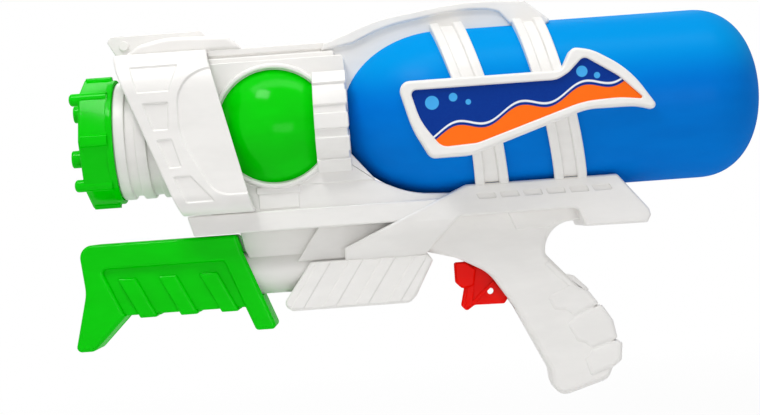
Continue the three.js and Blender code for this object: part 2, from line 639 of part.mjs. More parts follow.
// Front shroud, left and right before parting: a skin with a wall along its slanted front and rear edges.
const shroudSection = (inset) => [
  [-SHROUD_HALF + inset, BEAM_TOP_Z + GAP + inset, SHROUD_FOOT_ROUND - inset],
  [SHROUD_HALF - inset, BEAM_TOP_Z + GAP + inset, SHROUD_FOOT_ROUND - inset],
  [SHROUD_HALF - inset, SHROUD_TOP_Z - inset, SHROUD_TOP_ROUND - inset],
  [-SHROUD_HALF + inset, SHROUD_TOP_Z - inset, SHROUD_TOP_ROUND - inset],
];
const shroudBar = (inset) => bar(shroudSection(inset), -FAR, FAR);
const shroudSide = [
  [-160, SHROUD_TOP_Z + 1], [-154.3, 88, 30], [-122, 2], [-77.2, 2], [-101.5, SHROUD_TOP_Z + 1],
];
const shroudPanels = [
  [[-148.5, 97.5], [-118, 97.5], [-124.3, 80.4], [-144, 80.4]],
  [[-141.3, 74.2], [-125, 74.2], [-126, 57], [-135.6, 57]],
  [[-134.1, 51.3], [-124.5, 51.3], [-119.3, 33.3], [-127.4, 33.3]],
  [[-125.6, 28], [-114.6, 28], [-100, 11], [-118.4, 11]],
  [[-94, 94.5], [-101, 94, 14], [-119.6, 88, 22], [-120, 52, 44], [-101.6, 17, 16], [-92, 14.4], [-72, 14.4]],
];
function frontShroud() {
  const skin = shroudBar(0).intersect(slab(shroudSide, SHROUD_HALF + 1));
  const room = shroudBar(SHROUD_WALL).intersect(slab(shroudSide, SHROUD_HALF, 0, SHROUD_WALL));
  const panels = join(shroudPanels.map((panel) => slab(panel, SHROUD_HALF + 1))).subtract(shroudBar(RELIEF));
  const insideEdge = BEAM_HALF - SHROUD_LIP;
  return skin.subtract(join(
    room, panels, neckRoom, ballRoom, slab(bodyOutline, BODY_HALF + GAP),
    rod(
      'y', WINDOW_RADIUS + WINDOW_RIM + GAP, -BODY_HALF - WINDOW_STAND, BODY_HALF + WINDOW_STAND,
      [BALL_X, 0, BALL_Z], TURN_STEPS,
    ),
    block(-FAR, FAR, -HOOD_HALF - GAP, HOOD_HALF + GAP, SPINE_TOP_Z - 1.5, FAR),
    block(-FAR, FAR, -SPINE_HALF - GAP, SPINE_HALF + GAP, BODY_TOP_Z - 10, FAR),
    block(BODY_FRONT_X - GAP, 0, -RIDGE_HALF - GAP, RIDGE_HALF + GAP, BODY_TOP_Z - 2, RIDGE_TOP_Z + GAP),
    block(-FAR, FAR, -insideEdge, insideEdge, 0, BEAM_TOP_Z + 12),
    block(-FAR, BODY_FRONT_X - GAP, -insideEdge, insideEdge, 0, BEAM_TOP_Z + 30),
  ));
}
const leftSide = (body) => body.intersect(block(-FAR, FAR, -FAR, -GAP / 2, -FAR, FAR));
const shroud = leftSide(frontShroud());

// Green dome behind a ball window, with a flange that the housing wall holds.
function ballDome() {
  const steps = 5;
  const innerSteps = 3;
  const innerRadius = BALL_RADIUS - BALL_WALL;
  const flangeFace = BODY_HALF - WALL - GAP;
  const rim = Math.asin((BODY_HALF - GAP) / BALL_RADIUS);
  const outer = [];
  const inner = [];
  for (let i = 0; i <= steps; i += 1) {
    const rise = Math.PI / 2 + (rim - Math.PI / 2) * (i / steps);
    outer.push([-BALL_RADIUS * Math.sin(rise), i ? BALL_RADIUS * Math.cos(rise) : 0]);
  }
  for (let i = innerSteps; i >= 0; i -= 1) {
    const rise = Math.PI / 2 + (rim - Math.PI / 2) * (i / innerSteps);
    inner.push([-innerRadius * Math.sin(rise), i ? innerRadius * Math.cos(rise) : 0]);
  }
  const seat = WINDOW_RADIUS - GAP;
  const flange = [
    [-flangeFace, seat], [-flangeFace, WINDOW_RADIUS + 3], [-flangeFace + BALL_WALL, WINDOW_RADIUS + 3],
    [-flangeFace + BALL_WALL, seat - BALL_WALL],
  ];
  return turned('y', [...outer, ...flange, ...inner], [BALL_X, 0, BALL_Z]);
}

// Label frame outlines on the flat outer face, with heights from the tank's axis
const frameOutline = shifted([
  [15.4, 17.2, 6], [115.4, 17.2, 5], [122.8, 30.6, 5], [135, 28.4, 30], [157, 15, 60], [174.6, -12, 2.5],
  [160, -7.6, 40], [130, -7.4, 40], [58, -30.4, 30], [33, -30.4, 6], [23, -12, 60],
], 0, TANK_AXIS_Z);
const frameInner = shifted([
  [23.2, 11.4, 3], [112.6, 11.4, 12], [120, 15.4, 12], [129.6, 24.6, 4], [151, 11.6, 40], [167.4, -4.4, 1],
  [150, -1.8, 60], [128, -2.6, 60], [62, -23.2, 20], [40, -24.2, 8], [28.2, -7.6, 40],
], 0, TANK_AXIS_Z);
// Lines of the ribs: [x at upper end, z, x at lower end, z] of a rib's left edge. The upper ones run from under
// the arch to behind the frame, the lower ones from behind the frame to below the top of the rail.
const ribTop = tankTop + STRAP_RIB + GAP;
const ribFoot = RAIL_TOP_Z - 2.4;
const upperRibs = [[37.6, 49.6], [52.4, 63.6], [89.6, 98.4], [102.8, 111.2]].map(
  ([upperX, lowerX]) => [upperX, ribTop, lowerX, TANK_AXIS_Z + 16],
);
const lowerRibs = [[58.4, -26, 60.4], [71.6, -22, 75.6], [104, -13, 110], [117.4, -9, 124.4]].map(
  ([upperX, rise, lowerX]) => [upperX, TANK_AXIS_Z + rise, lowerX, ribFoot],
);
const ribOutline = ([x1, z1, x2, z2], width) => [[x1, z1], [x1 + width, z1], [x2 + width, z2], [x2, z2]];
const ribbon = (thickness) => pipe(
  'x', TANK_RADIUS + RUN + thickness, TANK_RADIUS + RUN, -FAR, FAR, [0, 0, TANK_AXIS_Z], TURN_STEPS,
);
function tankStrap() {
  const ribs = join([...upperRibs, ...lowerRibs].map((rib) => slab(ribOutline(rib, STRAP_RIB_WIDTH), FAR)));
  const webs = join([upperRibs, lowerRibs].flatMap((row) => [0, 2].map((i) => {
    const [left, right] = [row[i], row[i + 1]];
    return slab(ribOutline(left, right[0] - left[0] + 1), FAR);
  })));
  const straps = join(ribbon(STRAP_RIB).intersect(ribs), ribbon(STRAP_THICK).intersect(webs));
  const floor = frameFace - LABEL_SINK - LABEL_THICK - GAP;
  const frame = sheet(frameOutline, -frameFace, -BODY_HALF)
    .subtract(sheet(frameInner, -frameFace - 1, -floor))
    .subtract(sheet(frameInner, -floor + STRAP_THICK, 0))
    .subtract(tankRoom);
  const keep = block(-FAR, FAR, -FAR, -ARCH_WEB_HALF - GAP, RAIL_TOP_Z + GAP, FAR);
  const clear = join(slab(archOutline, ARCH_HALF + GAP), slab(archWebOutline, ARCH_WEB_HALF + GAP));
  return join(straps, frame).intersect(keep).subtract(clear);
}
const labelFace = -frameFace + LABEL_SINK;
const label = () => {
  const geometry = new THREE.ExtrudeGeometry(contour(frameInner, GAP), {
    depth: LABEL_THICK, bevelThickness: 0, bevelSize: 0, bevelOffset: -GAP, bevelSegments: 1,
  });
  geometry.rotateX(Math.PI / 2);
  geometry.translate(0, labelFace + LABEL_THICK, 0);
  return solid(geometry);
};

// Ribbed neck of the muzzle, closed at the rear but for the filler duct and the delivery pipe.
const capSkirt = CAP_REAR_X + GAP;
const threadRadius = NECK_RADIUS - 1.2;
function muzzleChamber() {
  const groove = NECK_RADIUS - NECK_GROOVE;
  const profile = [
    [NECK_FRONT_X, 0], [NECK_FRONT_X, threadRadius], [capSkirt, threadRadius], [capSkirt, NECK_RADIUS],
  ];
  for (let rib = 0; rib < NECK_RIBS - 1; rib += 1) {
    const x = capSkirt + rib * NECK_PITCH;
    const end = x + NECK_RIB;
    profile.push([end, NECK_RADIUS], [end, groove], [x + NECK_PITCH, groove], [x + NECK_PITCH, NECK_RADIUS]);
  }
  profile.push([NECK_REAR_X, NECK_RADIUS], [NECK_REAR_X, 0]);
  const bore = groove - NECK_WALL;
  const room = rod('x', bore, NECK_FRONT_X - 1, NECK_REAR_X - NECK_WALL, [0, 0, MUZZLE_Z], TURN_STEPS);
  return turned('x', profile, [0, 0, MUZZLE_Z]).subtract(join(
    room,
    rod('x', DUCT_RADIUS + 0.1, NECK_REAR_X - 9, NECK_REAR_X + 1, [0, 0, TANK_AXIS_Z], 16),
    rod('x', PIPE_RADIUS + 0.4, NECK_REAR_X - 9, NECK_REAR_X + 1, [0, 0, PIPE_DROP_Z], 12),
  ));
}

const manifoldFront = CAP_FRONT_X + CAP_WALL + GAP;
const manifoldRear = manifoldFront + MANIFOLD_DEEP;
const jetAngles = Array.from({ length: JET_COUNT }, (_, i) => Math.PI / 2 + i * 2 * Math.PI / JET_COUNT);
const jetSpots = jetAngles.map((a) => [JET_CIRCLE * Math.cos(a), MUZZLE_Z + JET_CIRCLE * Math.sin(a)]);
const pegAngles = Array.from({ length: CAP_SIDES / 2 }, (_, i) => (2 * i + 1) * 2 * Math.PI / CAP_SIDES);

function nozzleCap() {
  const flangeFront = CAP_REAR_X - CAP_FLANGE;
  const body = turned('x', [
    [CAP_FRONT_X, 0], [CAP_FRONT_X, CAP_RADIUS - 1.5], [CAP_FRONT_X + 1.5, CAP_RADIUS],
    [flangeFront, CAP_RADIUS], [flangeFront, 0],
  ], [0, 0, MUZZLE_Z], CAP_SIDES);
  const flange = rod('x', CAP_FLANGE_RADIUS, flangeFront - 1, CAP_REAR_X, [0, 0, MUZZLE_Z], TURN_STEPS);
  const grips = pegAngles.map((a) => sector(
    CAP_RADIUS - 6, CAP_RADIUS + 0.2, THREE.MathUtils.radToDeg(a) + 45, 3, CAP_FRONT_X + 2, flangeFront,
    MUZZLE_Z, 2,
  ));
  const pegTip = CAP_FRONT_X - PEG_STAND;
  const pegs = pegAngles.map((a) => turned('x', [
    [pegTip, 0], [pegTip + 0.6, PEG_RADIUS * 0.6], [pegTip + 2.4, PEG_RADIUS], [flangeFront, PEG_RADIUS],
    [flangeFront, 0],
  ], [0, PEG_CIRCLE * Math.cos(a), MUZZLE_Z + PEG_CIRCLE * Math.sin(a)], 8));
  const jetTip = CAP_FRONT_X - JET_STAND;
  const jets = jetSpots.map(([y, z]) => turned('x', [
    [jetTip, 0], [jetTip, JET_RADIUS - 1], [jetTip + 1, JET_RADIUS], [CAP_FRONT_X + 1, JET_RADIUS],
    [CAP_FRONT_X + 1, 0],
  ], [0, y, z], 10));
  const bores = jetSpots.map(([y, z]) => rod('x', JET_BORE, -FAR, CAP_FRONT_X + CAP_WALL + 1, [0, y, z], 6));
  const room = rod(
    'x', threadRadius + RUN, CAP_FRONT_X + CAP_WALL, CAP_REAR_X + 1, [0, 0, MUZZLE_Z], TURN_STEPS,
  );
  return join(body, flange, grips, pegs, jets).subtract(join(room, bores));
}

function nozzleManifold() {
  const cup = turned('x', [
    [manifoldFront, MANIFOLD_RADIUS - 2], [manifoldFront, MANIFOLD_RADIUS], [manifoldRear, MANIFOLD_RADIUS],
    [manifoldRear, 9], [manifoldRear + 5, 8.4], [manifoldRear + 5, PIPE_RADIUS + RUN],
    [manifoldRear - 2, PIPE_RADIUS + RUN], [manifoldRear - 2, MANIFOLD_RADIUS - 2],
  ], [0, 0, MUZZLE_Z], 16);
  return cup;
}

const deliveryPipe = () => carried([
  [manifoldRear - 1, 0, MUZZLE_Z], [manifoldRear + 9, 0, MUZZLE_Z], [manifoldRear + 17, 0, MUZZLE_Z - 4],
  [manifoldRear + 22, 0, (MUZZLE_Z + PIPE_DROP_Z) / 2], [manifoldRear + 27, 0, PIPE_DROP_Z + 4],
  [manifoldRear + 35, 0, PIPE_DROP_Z], [NECK_REAR_X + 8, 0, PIPE_DROP_Z],
], PIPE_RADIUS, PIPE_BORE, 12, 4);

// Pump: fixed cylinder with a gland at the front and a plug at the rear, rod and piston inside.
const pumpAxis = [0, 0, PUMP_Z];
const plugRadius = CYLINDER_BORE - GAP;
const glandFront = CYLINDER_FRONT_X - PLUG_FLANGE - GAP;
const pumpGland = () => turned('x', [
  [glandFront, ROD_RADIUS + RUN], [glandFront, CYLINDER_RADIUS - 0.6],
  [CYLINDER_FRONT_X - GAP, CYLINDER_RADIUS - 0.2], [CYLINDER_FRONT_X - GAP, plugRadius],
  [CYLINDER_FRONT_X + PLUG_DEEP, plugRadius], [CYLINDER_FRONT_X + PLUG_DEEP, ROD_RADIUS + RUN],
], pumpAxis, 16);
const pumpPlug = () => turned('x', [
  [CYLINDER_REAR_X - PLUG_DEEP, SPIGOT_BORE], [CYLINDER_REAR_X - PLUG_DEEP, plugRadius],
  [CYLINDER_REAR_X + GAP, plugRadius], [CYLINDER_REAR_X + GAP, CYLINDER_RADIUS], [plugRear, CYLINDER_RADIUS],
  [plugRear, SPIGOT_RADIUS], [plugRear + SPIGOT_LENGTH, SPIGOT_RADIUS], [plugRear + SPIGOT_LENGTH, SPIGOT_BORE],
], pumpAxis, 16);
const pistonFront = PISTON_REAR_X - PISTON_LENGTH;
const ringFront = pistonFront + (PISTON_LENGTH - PISTON_RING) / 2;
const pistonRadius = CYLINDER_BORE - RUN;
const ringSeat = pistonRadius - 2;
const piston = () => turned('x', [
  [pistonFront, ROD_RADIUS + 0.1], [pistonFront, pistonRadius], [ringFront - GAP, pistonRadius],
  [ringFront - GAP, ringSeat], [ringFront + PISTON_RING + GAP, ringSeat],
  [ringFront + PISTON_RING + GAP, pistonRadius], [PISTON_REAR_X, pistonRadius], [PISTON_REAR_X, 0],
  [PISTON_REAR_X - 2, 0], [PISTON_REAR_X - 2, ROD_RADIUS + 0.1],
], pumpAxis, 16);
const pistonRing = () => turned('x', [
  [ringFront, ringSeat + GAP], [ringFront, CYLINDER_BORE - 0.5], [ringFront + 0.4, CYLINDER_BORE - 0.15],
  [ringFront + PISTON_RING - 0.4, CYLINDER_BORE - 0.15], [ringFront + PISTON_RING, CYLINDER_BORE - 0.5],
  [ringFront + PISTON_RING, ringSeat + GAP],
], pumpAxis, 16);
const rodFront = HANDLE_FRONT_X + 6;

// Pump handle: a clamshell of its own that rides on the cylinder.
const handleOutline = [
  [HANDLE_FRONT_X, HANDLE_TOP_Z, 8], [HANDLE_REAR_X, HANDLE_TOP_Z, 2.5], [-88.6, -21, 20], [-69.6, -71.4, 2.6],
  [-83.2, -71.4, 2.6], [-89, HANDLE_BOTTOM_Z, 1.5], [-164.4, HANDLE_BOTTOM_Z, 3], [-185.6, -77.6, 5],
  [-197.6, -77.6, 3.2], [-188.6, -41, 26],
];
const handlePanel = [
  [-178, -26.6, 2], [-100.4, -26.6, 2], [-86.4, HANDLE_BOTTOM_Z - 1], [-164.4, HANDLE_BOTTOM_Z - 1],
];
const handleBar = [
  [-168.6, -33], [-156.6, -33], [-144.2, HANDLE_BOTTOM_Z - 2], [-155.4, HANDLE_BOTTOM_Z - 2],
];
const handleScrews = [
  ['handle_screw_front', -188.5, -70, HANDLE_HALF],
  ['handle_screw_rear', -79.4, -63, HANDLE_HALF],
];
function pumpHandle() {
  const panel = slab(handlePanel, HANDLE_HALF + 1).subtract(slab(handlePanel, HANDLE_HALF - RELIEF * 1.6));
  const bars = Array.from({ length: HANDLE_BAR_COUNT }, (_, i) => slab(
    shifted(handleBar, i * HANDLE_BAR_PITCH, 0), HANDLE_HALF, 0.8,
  ));
  const outside = join(slab(handleOutline, HANDLE_HALF, 2.4).subtract(panel), bars);
  const inside = slab(handleOutline, HANDLE_HALF - HANDLE_WALL - RELIEF, 0, HANDLE_WALL);
  const ribs = HANDLE_RIB_XS.map((x) => block(
    x, x + HANDLE_RIB, -HANDLE_HALF + 3, HANDLE_HALF - 3, HANDLE_BOTTOM_Z + 1, HANDLE_TOP_Z - 1,
  ));
  const rodSeat = pipe('x', ROD_RADIUS + 3, ROD_RADIUS + 0.15, rodFront - 3, rodFront + 8, pumpAxis, 14);
  const seatWeb = block(rodFront - 4, rodFront + 6, -HANDLE_HALF + 3, HANDLE_HALF - 3, PUMP_Z - 1, PUMP_Z + 1);
  const bosses = handleScrews.map(screwBoss);
  const tubeRoom = rod('x', CYLINDER_RADIUS + RUN, rodFront + 9, FAR, pumpAxis, 24);
  return join(outside.subtract(inside), ribs, rodSeat, seatWeb, bosses)
    .subtract(join(tubeRoom, rod('x', ROD_RADIUS + 0.15, rodFront - GAP, FAR, pumpAxis, 14)))
    .subtract(join(handleScrews.map(screwRoom)));
}

// Trigger, its pin and the valve it works
const pivot = [TRIGGER_PIVOT_X, 0, TRIGGER_PIVOT_Z];
function trigger() {
  const blade = [
    [50, -55, 2], [47.2, -66.4, 2], [50.4, -70, 2], [56, -66.4, 3], [75, -66.8, 2], [79.6, -60, 2],
    [TRIGGER_REAR_X, -52, 2], [TRIGGER_REAR_X, -38, 3], [67, -21, 3],
    [TRIGGER_PIVOT_X, TRIGGER_PIVOT_Z + 6, 5], [53, -23, 4], [51, -38],
  ];
  const pad = [[44.6, -38.6, 1.5], [44.6, -51.4, 2.5], [48.6, -55.4, 3], [56, -54], [58, -44], [52, -38.6]];
  const ribs = [
    [[52.6, -58], [54.2, -58], [53.2, -65], [51.6, -65]], [[61, -56], [62.6, -56], [62.6, -66], [61, -66]],
  ].map((rib) => slab(rib, TRIGGER_HALF + 1));
  const hole = rod('y', 2.1, -FAR, FAR, [66.6, 0, -58.4], 14);
  const pinHole = rod('y', PIN_RADIUS + GAP, -FAR, FAR, pivot, 14);
  return join(slab(blade, TRIGGER_HALF, 0.8), slab(pad, TRIGGER_PAD_HALF, 1), ribs)
    .subtract(join(hole, pinHole));
}
const triggerPin = () => rod('y', PIN_RADIUS, -GRIP_HALF + WALL + GAP, GRIP_HALF - WALL - GAP, pivot, 14);

const valveAxis = [0, 0, VALVE_Z];
const valveEnd = VALVE_REAR_X - VALVE_WALL;
function valveBody() {
  const spigots = [VALVE_INLET_X, VALVE_OUTLET_X];
  const outside = join(
    rod('x', VALVE_RADIUS, VALVE_FRONT_X, VALVE_REAR_X, valveAxis, 20),
    spigots.map((x) => rod('z', SPIGOT_RADIUS, VALVE_Z, VALVE_SPIGOT_TOP_Z, [x, 0, 0], 10)),
  );
  return outside.subtract(join(
    rod('x', VALVE_BORE, VALVE_FRONT_X - 1, valveEnd, valveAxis, 14),
    spigots.map((x) => rod('z', SPIGOT_BORE, VALVE_Z, VALVE_SPIGOT_TOP_Z + 1, [x, 0, 0], 8)),
  ));
}
const plungerFront = TRIGGER_REAR_X + GAP;
const plungerRear = plungerFront + PLUNGER_LENGTH;
const valvePlunger = () => turned('x', [
  [plungerFront, 0], [plungerFront + 0.6, PLUNGER_RADIUS * 0.7], [plungerFront + 2, PLUNGER_RADIUS],
  [plungerRear, PLUNGER_RADIUS], [plungerRear, 0],
], valveAxis, 14);
function valveSpring() {
  const from = plungerRear + SPRING_WIRE + GAP;
  const to = valveEnd - SPRING_WIRE - GAP;
  const points = Array.from({ length: SPRING_TURNS * 8 + 1 }, (_, i) => {
    const turn = i / 8 * 2 * Math.PI;
    const along = from + (to - from) * i / (SPRING_TURNS * 8);
    return [along, SPRING_RADIUS * Math.cos(turn), VALVE_Z + SPRING_RADIUS * Math.sin(turn)];
  });
  return carried(points, SPRING_WIRE, 0, SPRING_TURNS * 8, 3);
}

const plugTip = plugRear + SPIGOT_LENGTH;
const airHose = () => carried([
  [plugTip - HOSE_GRIP, 0, PUMP_Z], [plugTip - 1, 0, PUMP_Z], [plugTip + 3, 0, PUMP_Z],
  [AIR_INLET_X - 10, 0, PUMP_Z + 6], [AIR_INLET_X - 5, 0, PUMP_Z + 15], [AIR_INLET_X, 0, spigotFoot - 4],
  [AIR_INLET_X, 0, spigotFoot], [AIR_INLET_X, 0, spigotFoot + HOSE_GRIP],
], HOSE_RADIUS, HOSE_BORE, 11, 4);
const supplyHose = () => pipe(
  'z', HOSE_RADIUS, HOSE_BORE, VALVE_SPIGOT_TOP_Z - HOSE_GRIP, spigotFoot + HOSE_GRIP,
  [VALVE_INLET_X, 0, 0], 12,
);
const hoseLaneY = 10;
const pipeTail = NECK_REAR_X + 8;
const deliveryHose = () => carried([
  [VALVE_OUTLET_X, 0, VALVE_SPIGOT_TOP_Z - HOSE_GRIP], [VALVE_OUTLET_X, 0, VALVE_SPIGOT_TOP_Z],
  [VALVE_OUTLET_X, 0, VALVE_SPIGOT_TOP_Z + 3], [VALVE_OUTLET_X - 1, 3, -13],
  [VALVE_OUTLET_X - 9, hoseLaneY - 1, -3], [62, hoseLaneY, -1.8], [42, hoseLaneY, beamMiddle + 0.4],
  [30, hoseLaneY, beamMiddle], [0, hoseLaneY, beamMiddle], [-86, hoseLaneY, beamMiddle],
  [-94, hoseLaneY - 1, 0], [-96, hoseLaneY - 4, 9], [-94, 2, 18], [-95, 0, PIPE_DROP_Z - 3],
  [pipeTail + 8, 0, PIPE_DROP_Z], [pipeTail + 2, 0, PIPE_DROP_Z], [pipeTail - HOSE_GRIP, 0, PIPE_DROP_Z],
], HOSE_RADIUS, HOSE_BORE, 22, 4);

const clamshell = housing().subtract(housingRoom()).subtract(join(housingScrews.map(screwRoom)));
const handle = pumpHandle();
const rightSide = (body) => body.intersect(block(-FAR, FAR, GAP / 2, FAR, -FAR, FAR));
const strap = tankStrap();

place('left_housing', leftSide(clamshell), 'white');
place('right_housing', rightSide(clamshell), 'white');
place('left_front_shroud', shroud, 'white');
place('right_front_shroud', shroud, 'white', true);
place('left_tank_strap', strap, 'white');
place('right_tank_strap', strap, 'white', true);
place('left_label', label(), 'print');
place('right_label', label(), 'print', true);
place('left_ball_dome', ballDome(), 'green');
place('right_ball_dome', ballDome(), 'green', true);
place('water_tank', waterTank(), 'blue');
place('muzzle_chamber', muzzleChamber(), 'white');
place('nozzle_cap', nozzleCap(), 'green');
place('nozzle_manifold', nozzleManifold(), 'grey');
place('cap_seal', pipe('x', threadRadius - 0.4, NECK_RADIUS - NECK_GROOVE - NECK_WALL + 0.4, manifoldFront,
  NECK_FRONT_X - GAP, [0, 0, MUZZLE_Z], 24), 'rubber');
place('delivery_pipe', deliveryPipe(), 'grey');
place('filler_duct', pipe('x', DUCT_RADIUS, DUCT_RADIUS - DUCT_WALL, NECK_REAR_X - NECK_WALL,
  TANK_FRONT_X - TANK_NECK_LENGTH + DUCT_OVERLAP, [0, 0, TANK_AXIS_Z], 16), 'grey');
place('pump_cylinder', pipe('x', CYLINDER_RADIUS, CYLINDER_BORE, CYLINDER_FRONT_X, CYLINDER_REAR_X,
  pumpAxis, 24), 'white');
place('pump_gland', pumpGland(), 'grey');
place('pump_plug', pumpPlug(), 'grey');
place('piston_rod', rod('x', ROD_RADIUS, rodFront, PISTON_REAR_X - 2 - GAP, pumpAxis, 14), 'steel');
place('piston', piston(), 'grey');
place('piston_ring', pistonRing(), 'rubber');
place('left_pump_handle', leftSide(handle), 'green');
place('right_pump_handle', rightSide(handle), 'green');
place('trigger', trigger(), 'red');
place('trigger_pin', triggerPin(), 'steel');
place('valve_body', valveBody(), 'grey');
place('valve_plunger', valvePlunger(), 'grey');
place('valve_spring', valveSpring(), 'steel');
place('air_hose', airHose(), 'clear');
place('supply_hose', supplyHose(), 'clear');
place('delivery_hose', deliveryHose(), 'clear');
[...housingScrews, ...handleScrews].forEach((entry) => place(entry[0], screw(entry), 'steel'));

squirter.children.forEach((piece) => piece.position.set(-GRIP_X, 0, -GRIP_Z));
export default squirter;
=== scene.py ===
# %% [markdown]
# # A pump action water squirter
# A toy of bright moulded plastic: a blue pressure tank lies in a white clamshell housing, a green handle
# under the barrel pumps air into it, and a red trigger lets the water out through a green muzzle cap. The
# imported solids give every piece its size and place. This lesson gives each piece its fine surface, and
# each plastic its finish.

import math

import bmesh
import bpy
import numpy as np
from mathutils import Matrix, Vector
from mathutils.geometry import delaunay_2d_cdt


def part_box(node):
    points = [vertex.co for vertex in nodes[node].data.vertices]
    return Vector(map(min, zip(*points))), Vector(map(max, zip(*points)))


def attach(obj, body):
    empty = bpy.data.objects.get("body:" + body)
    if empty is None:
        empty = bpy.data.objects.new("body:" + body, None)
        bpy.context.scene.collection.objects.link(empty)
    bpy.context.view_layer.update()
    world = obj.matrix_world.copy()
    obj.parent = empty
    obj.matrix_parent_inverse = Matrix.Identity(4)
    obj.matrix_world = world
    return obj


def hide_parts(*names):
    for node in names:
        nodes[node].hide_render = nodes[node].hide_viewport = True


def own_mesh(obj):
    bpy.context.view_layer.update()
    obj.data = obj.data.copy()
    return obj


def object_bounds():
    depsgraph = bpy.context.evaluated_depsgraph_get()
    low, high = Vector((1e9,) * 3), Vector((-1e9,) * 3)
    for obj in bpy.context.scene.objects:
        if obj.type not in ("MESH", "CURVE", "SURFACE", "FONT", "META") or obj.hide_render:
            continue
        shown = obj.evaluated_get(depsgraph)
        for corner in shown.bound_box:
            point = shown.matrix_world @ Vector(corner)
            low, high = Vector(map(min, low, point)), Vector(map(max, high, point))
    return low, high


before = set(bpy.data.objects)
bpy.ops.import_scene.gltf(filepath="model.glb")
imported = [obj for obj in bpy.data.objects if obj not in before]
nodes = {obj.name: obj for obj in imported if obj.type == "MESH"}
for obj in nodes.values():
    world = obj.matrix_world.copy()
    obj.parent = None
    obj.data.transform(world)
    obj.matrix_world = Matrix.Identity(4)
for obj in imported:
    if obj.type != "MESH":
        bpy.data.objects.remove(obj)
CAD_BOX = [list(corner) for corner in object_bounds()]
print("nodes in the frame:", len(nodes))

# %% [markdown]
# ## Working measure
# The moulds are drawn in millimetres on a datum at mid-length of the toy, X to the rear, Y to the right
# and Z up. The frame has its origin inside the pistol grip, in metres. One function carries points from
# the first to the second, so every size below can be read off a workshop drawing.

# %% Datum
DATUM = np.array([108.0, 0.0, -80.0])  # the frame's origin, as seen from the drawing datum
PARTING = 0.15  # half the hairline between the two halves of a clamshell


def to_frame(points):
    """Drawing millimetres to frame metres: shift by the datum, then divide by a thousand."""
    return (np.asarray(points, float) - DATUM) / 1000.0


print("drawing datum in the frame:", to_frame((0, 0, 0)).tolist())

# %% [markdown]
# ## Outlines with rounded corners
# A moulded part is drawn as straight edges with a radius at every corner. The function below does the
# same with whole arrays. Each corner's arc starts where the incoming edge touches it and swings through
# the corner's turn. The outline can also be drawn in by an inset: edges move in, outer corners lose
# radius and inner corners gain it. The arcs keep their number of points, so that rings at different
# insets can be stitched together.

# %% Rounded outlines
ARC_SAG = 0.015  # how far a chord may leave its arc, in millimetres
LEAST_RADIUS = 0.25  # no moulded corner is sharper than this
LEAST_BEND = 0.02  # what is left of an outer corner's radius when the outline is drawn in past it


def outline(corners, inset=0.0):
    """Closed outline, anticlockwise: point = arc centre + radius turned from the incoming edge's normal."""
    flat = np.array([corner[:2] for corner in corners], float)
    radius = np.array([max(corner[2] if len(corner) > 2 else 0, LEAST_RADIUS) for corner in corners])
    ahead = np.roll(flat, -1, 0)
    if np.sum(flat[:, 0] * ahead[:, 1] - ahead[:, 0] * flat[:, 1]) < 0:
        flat, radius = flat[::-1], radius[::-1]
    into = flat - np.roll(flat, 1, 0)
    into /= np.linalg.norm(into, axis=1, keepdims=True)
    away = np.roll(into, -1, 0)
    left_in = np.stack([-into[:, 1], into[:, 0]], 1)
    left_out = np.roll(left_in, -1, 0)
    turn = np.arctan2(into[:, 0] * away[:, 1] - into[:, 1] * away[:, 0], np.sum(into * away, 1))
    corner = flat + inset * (left_in + left_out) / (1 + np.sum(left_in * left_out, 1, keepdims=True))
    bend = np.where(turn > 0, np.maximum(radius - inset, LEAST_BEND), radius + inset)
    start = corner - into * (bend * np.tan(np.abs(turn) / 2))[:, None]
    way = np.where(turn > 0, 1.0, -1.0)
    centre = start + left_in * (bend * way)[:, None]
    step = 2 * np.arccos(1 - np.minimum(1, ARC_SAG / radius))
    count = np.maximum(1, np.ceil(np.abs(turn) / step)).astype(int)
    which = np.repeat(np.arange(len(flat)), count + 1)
    place = np.arange(len(which)) - np.repeat(np.cumsum(count + 1) - count - 1, count + 1)
    swing = turn[which] * place / count[which]
    spoke = -left_in[which] * (bend * way)[which, None]
    cos, sin = np.cos(swing), np.sin(swing)
    swung = np.stack([spoke[:, 0] * cos - spoke[:, 1] * sin, spoke[:, 0] * sin + spoke[:, 1] * cos], 1)
    return centre[which] + swung


def shifted(corners, along):
    """The same corners, each moved along the plate."""
    return [(corner[0] + along, *corner[1:]) for corner in corners]


def circle(x, z, radius):
    """A round outline: the four corners of its square, each rounded by half the square's side."""
    signs = [(-1, -1), (1, -1), (1, 1), (-1, 1)]
    return [(x + across * radius, z + up * radius, radius) for across, up in signs]


print("points on a ring of 10 mm:", len(outline(circle(0, 0, 10))))

# %% [markdown]
# ## A pile of surfaces
# One moulding often has many walls, ribs and pads. The pile collects their points and faces and makes one
# mesh of them at the end. Blender's own booleans could join them, but they are slow and leave slivers,
# and walls that overlap look the same from outside. The pile measures the enclosed volume of each closed
# surface, so a surface that came out inside out is turned round before it goes in.

# %% Pile
MERGE = 2e-7  # metres; points nearer to each other than this become one
SHARP = 32.0  # degrees; an edge that turns by more than this is shaded as an edge


class Pile:
    """Points and faces of one moulding, in drawing millimetres."""

    def __init__(self):
        self.points, self.faces, self.count = [], [], 0

    def add(self, points, faces):
        """One more closed surface, turned round if its volume comes out negative."""
        points = np.asarray(points, float)
        if enclosed(points, faces) < 0:
            faces = [face[::-1] for face in faces]
        self.faces += [[corner + self.count for corner in face] for face in faces]
        self.points.append(points)
        self.count += len(points)
        return self

    def mirrored(self):
        """The twin over the parting plane: y changes sign, and each face runs the other way."""
        twin = Pile()
        twin.points = [points * (1, -1, 1) for points in self.points]
        twin.faces = [face[::-1] for face in self.faces]
        twin.count = self.count
        return twin


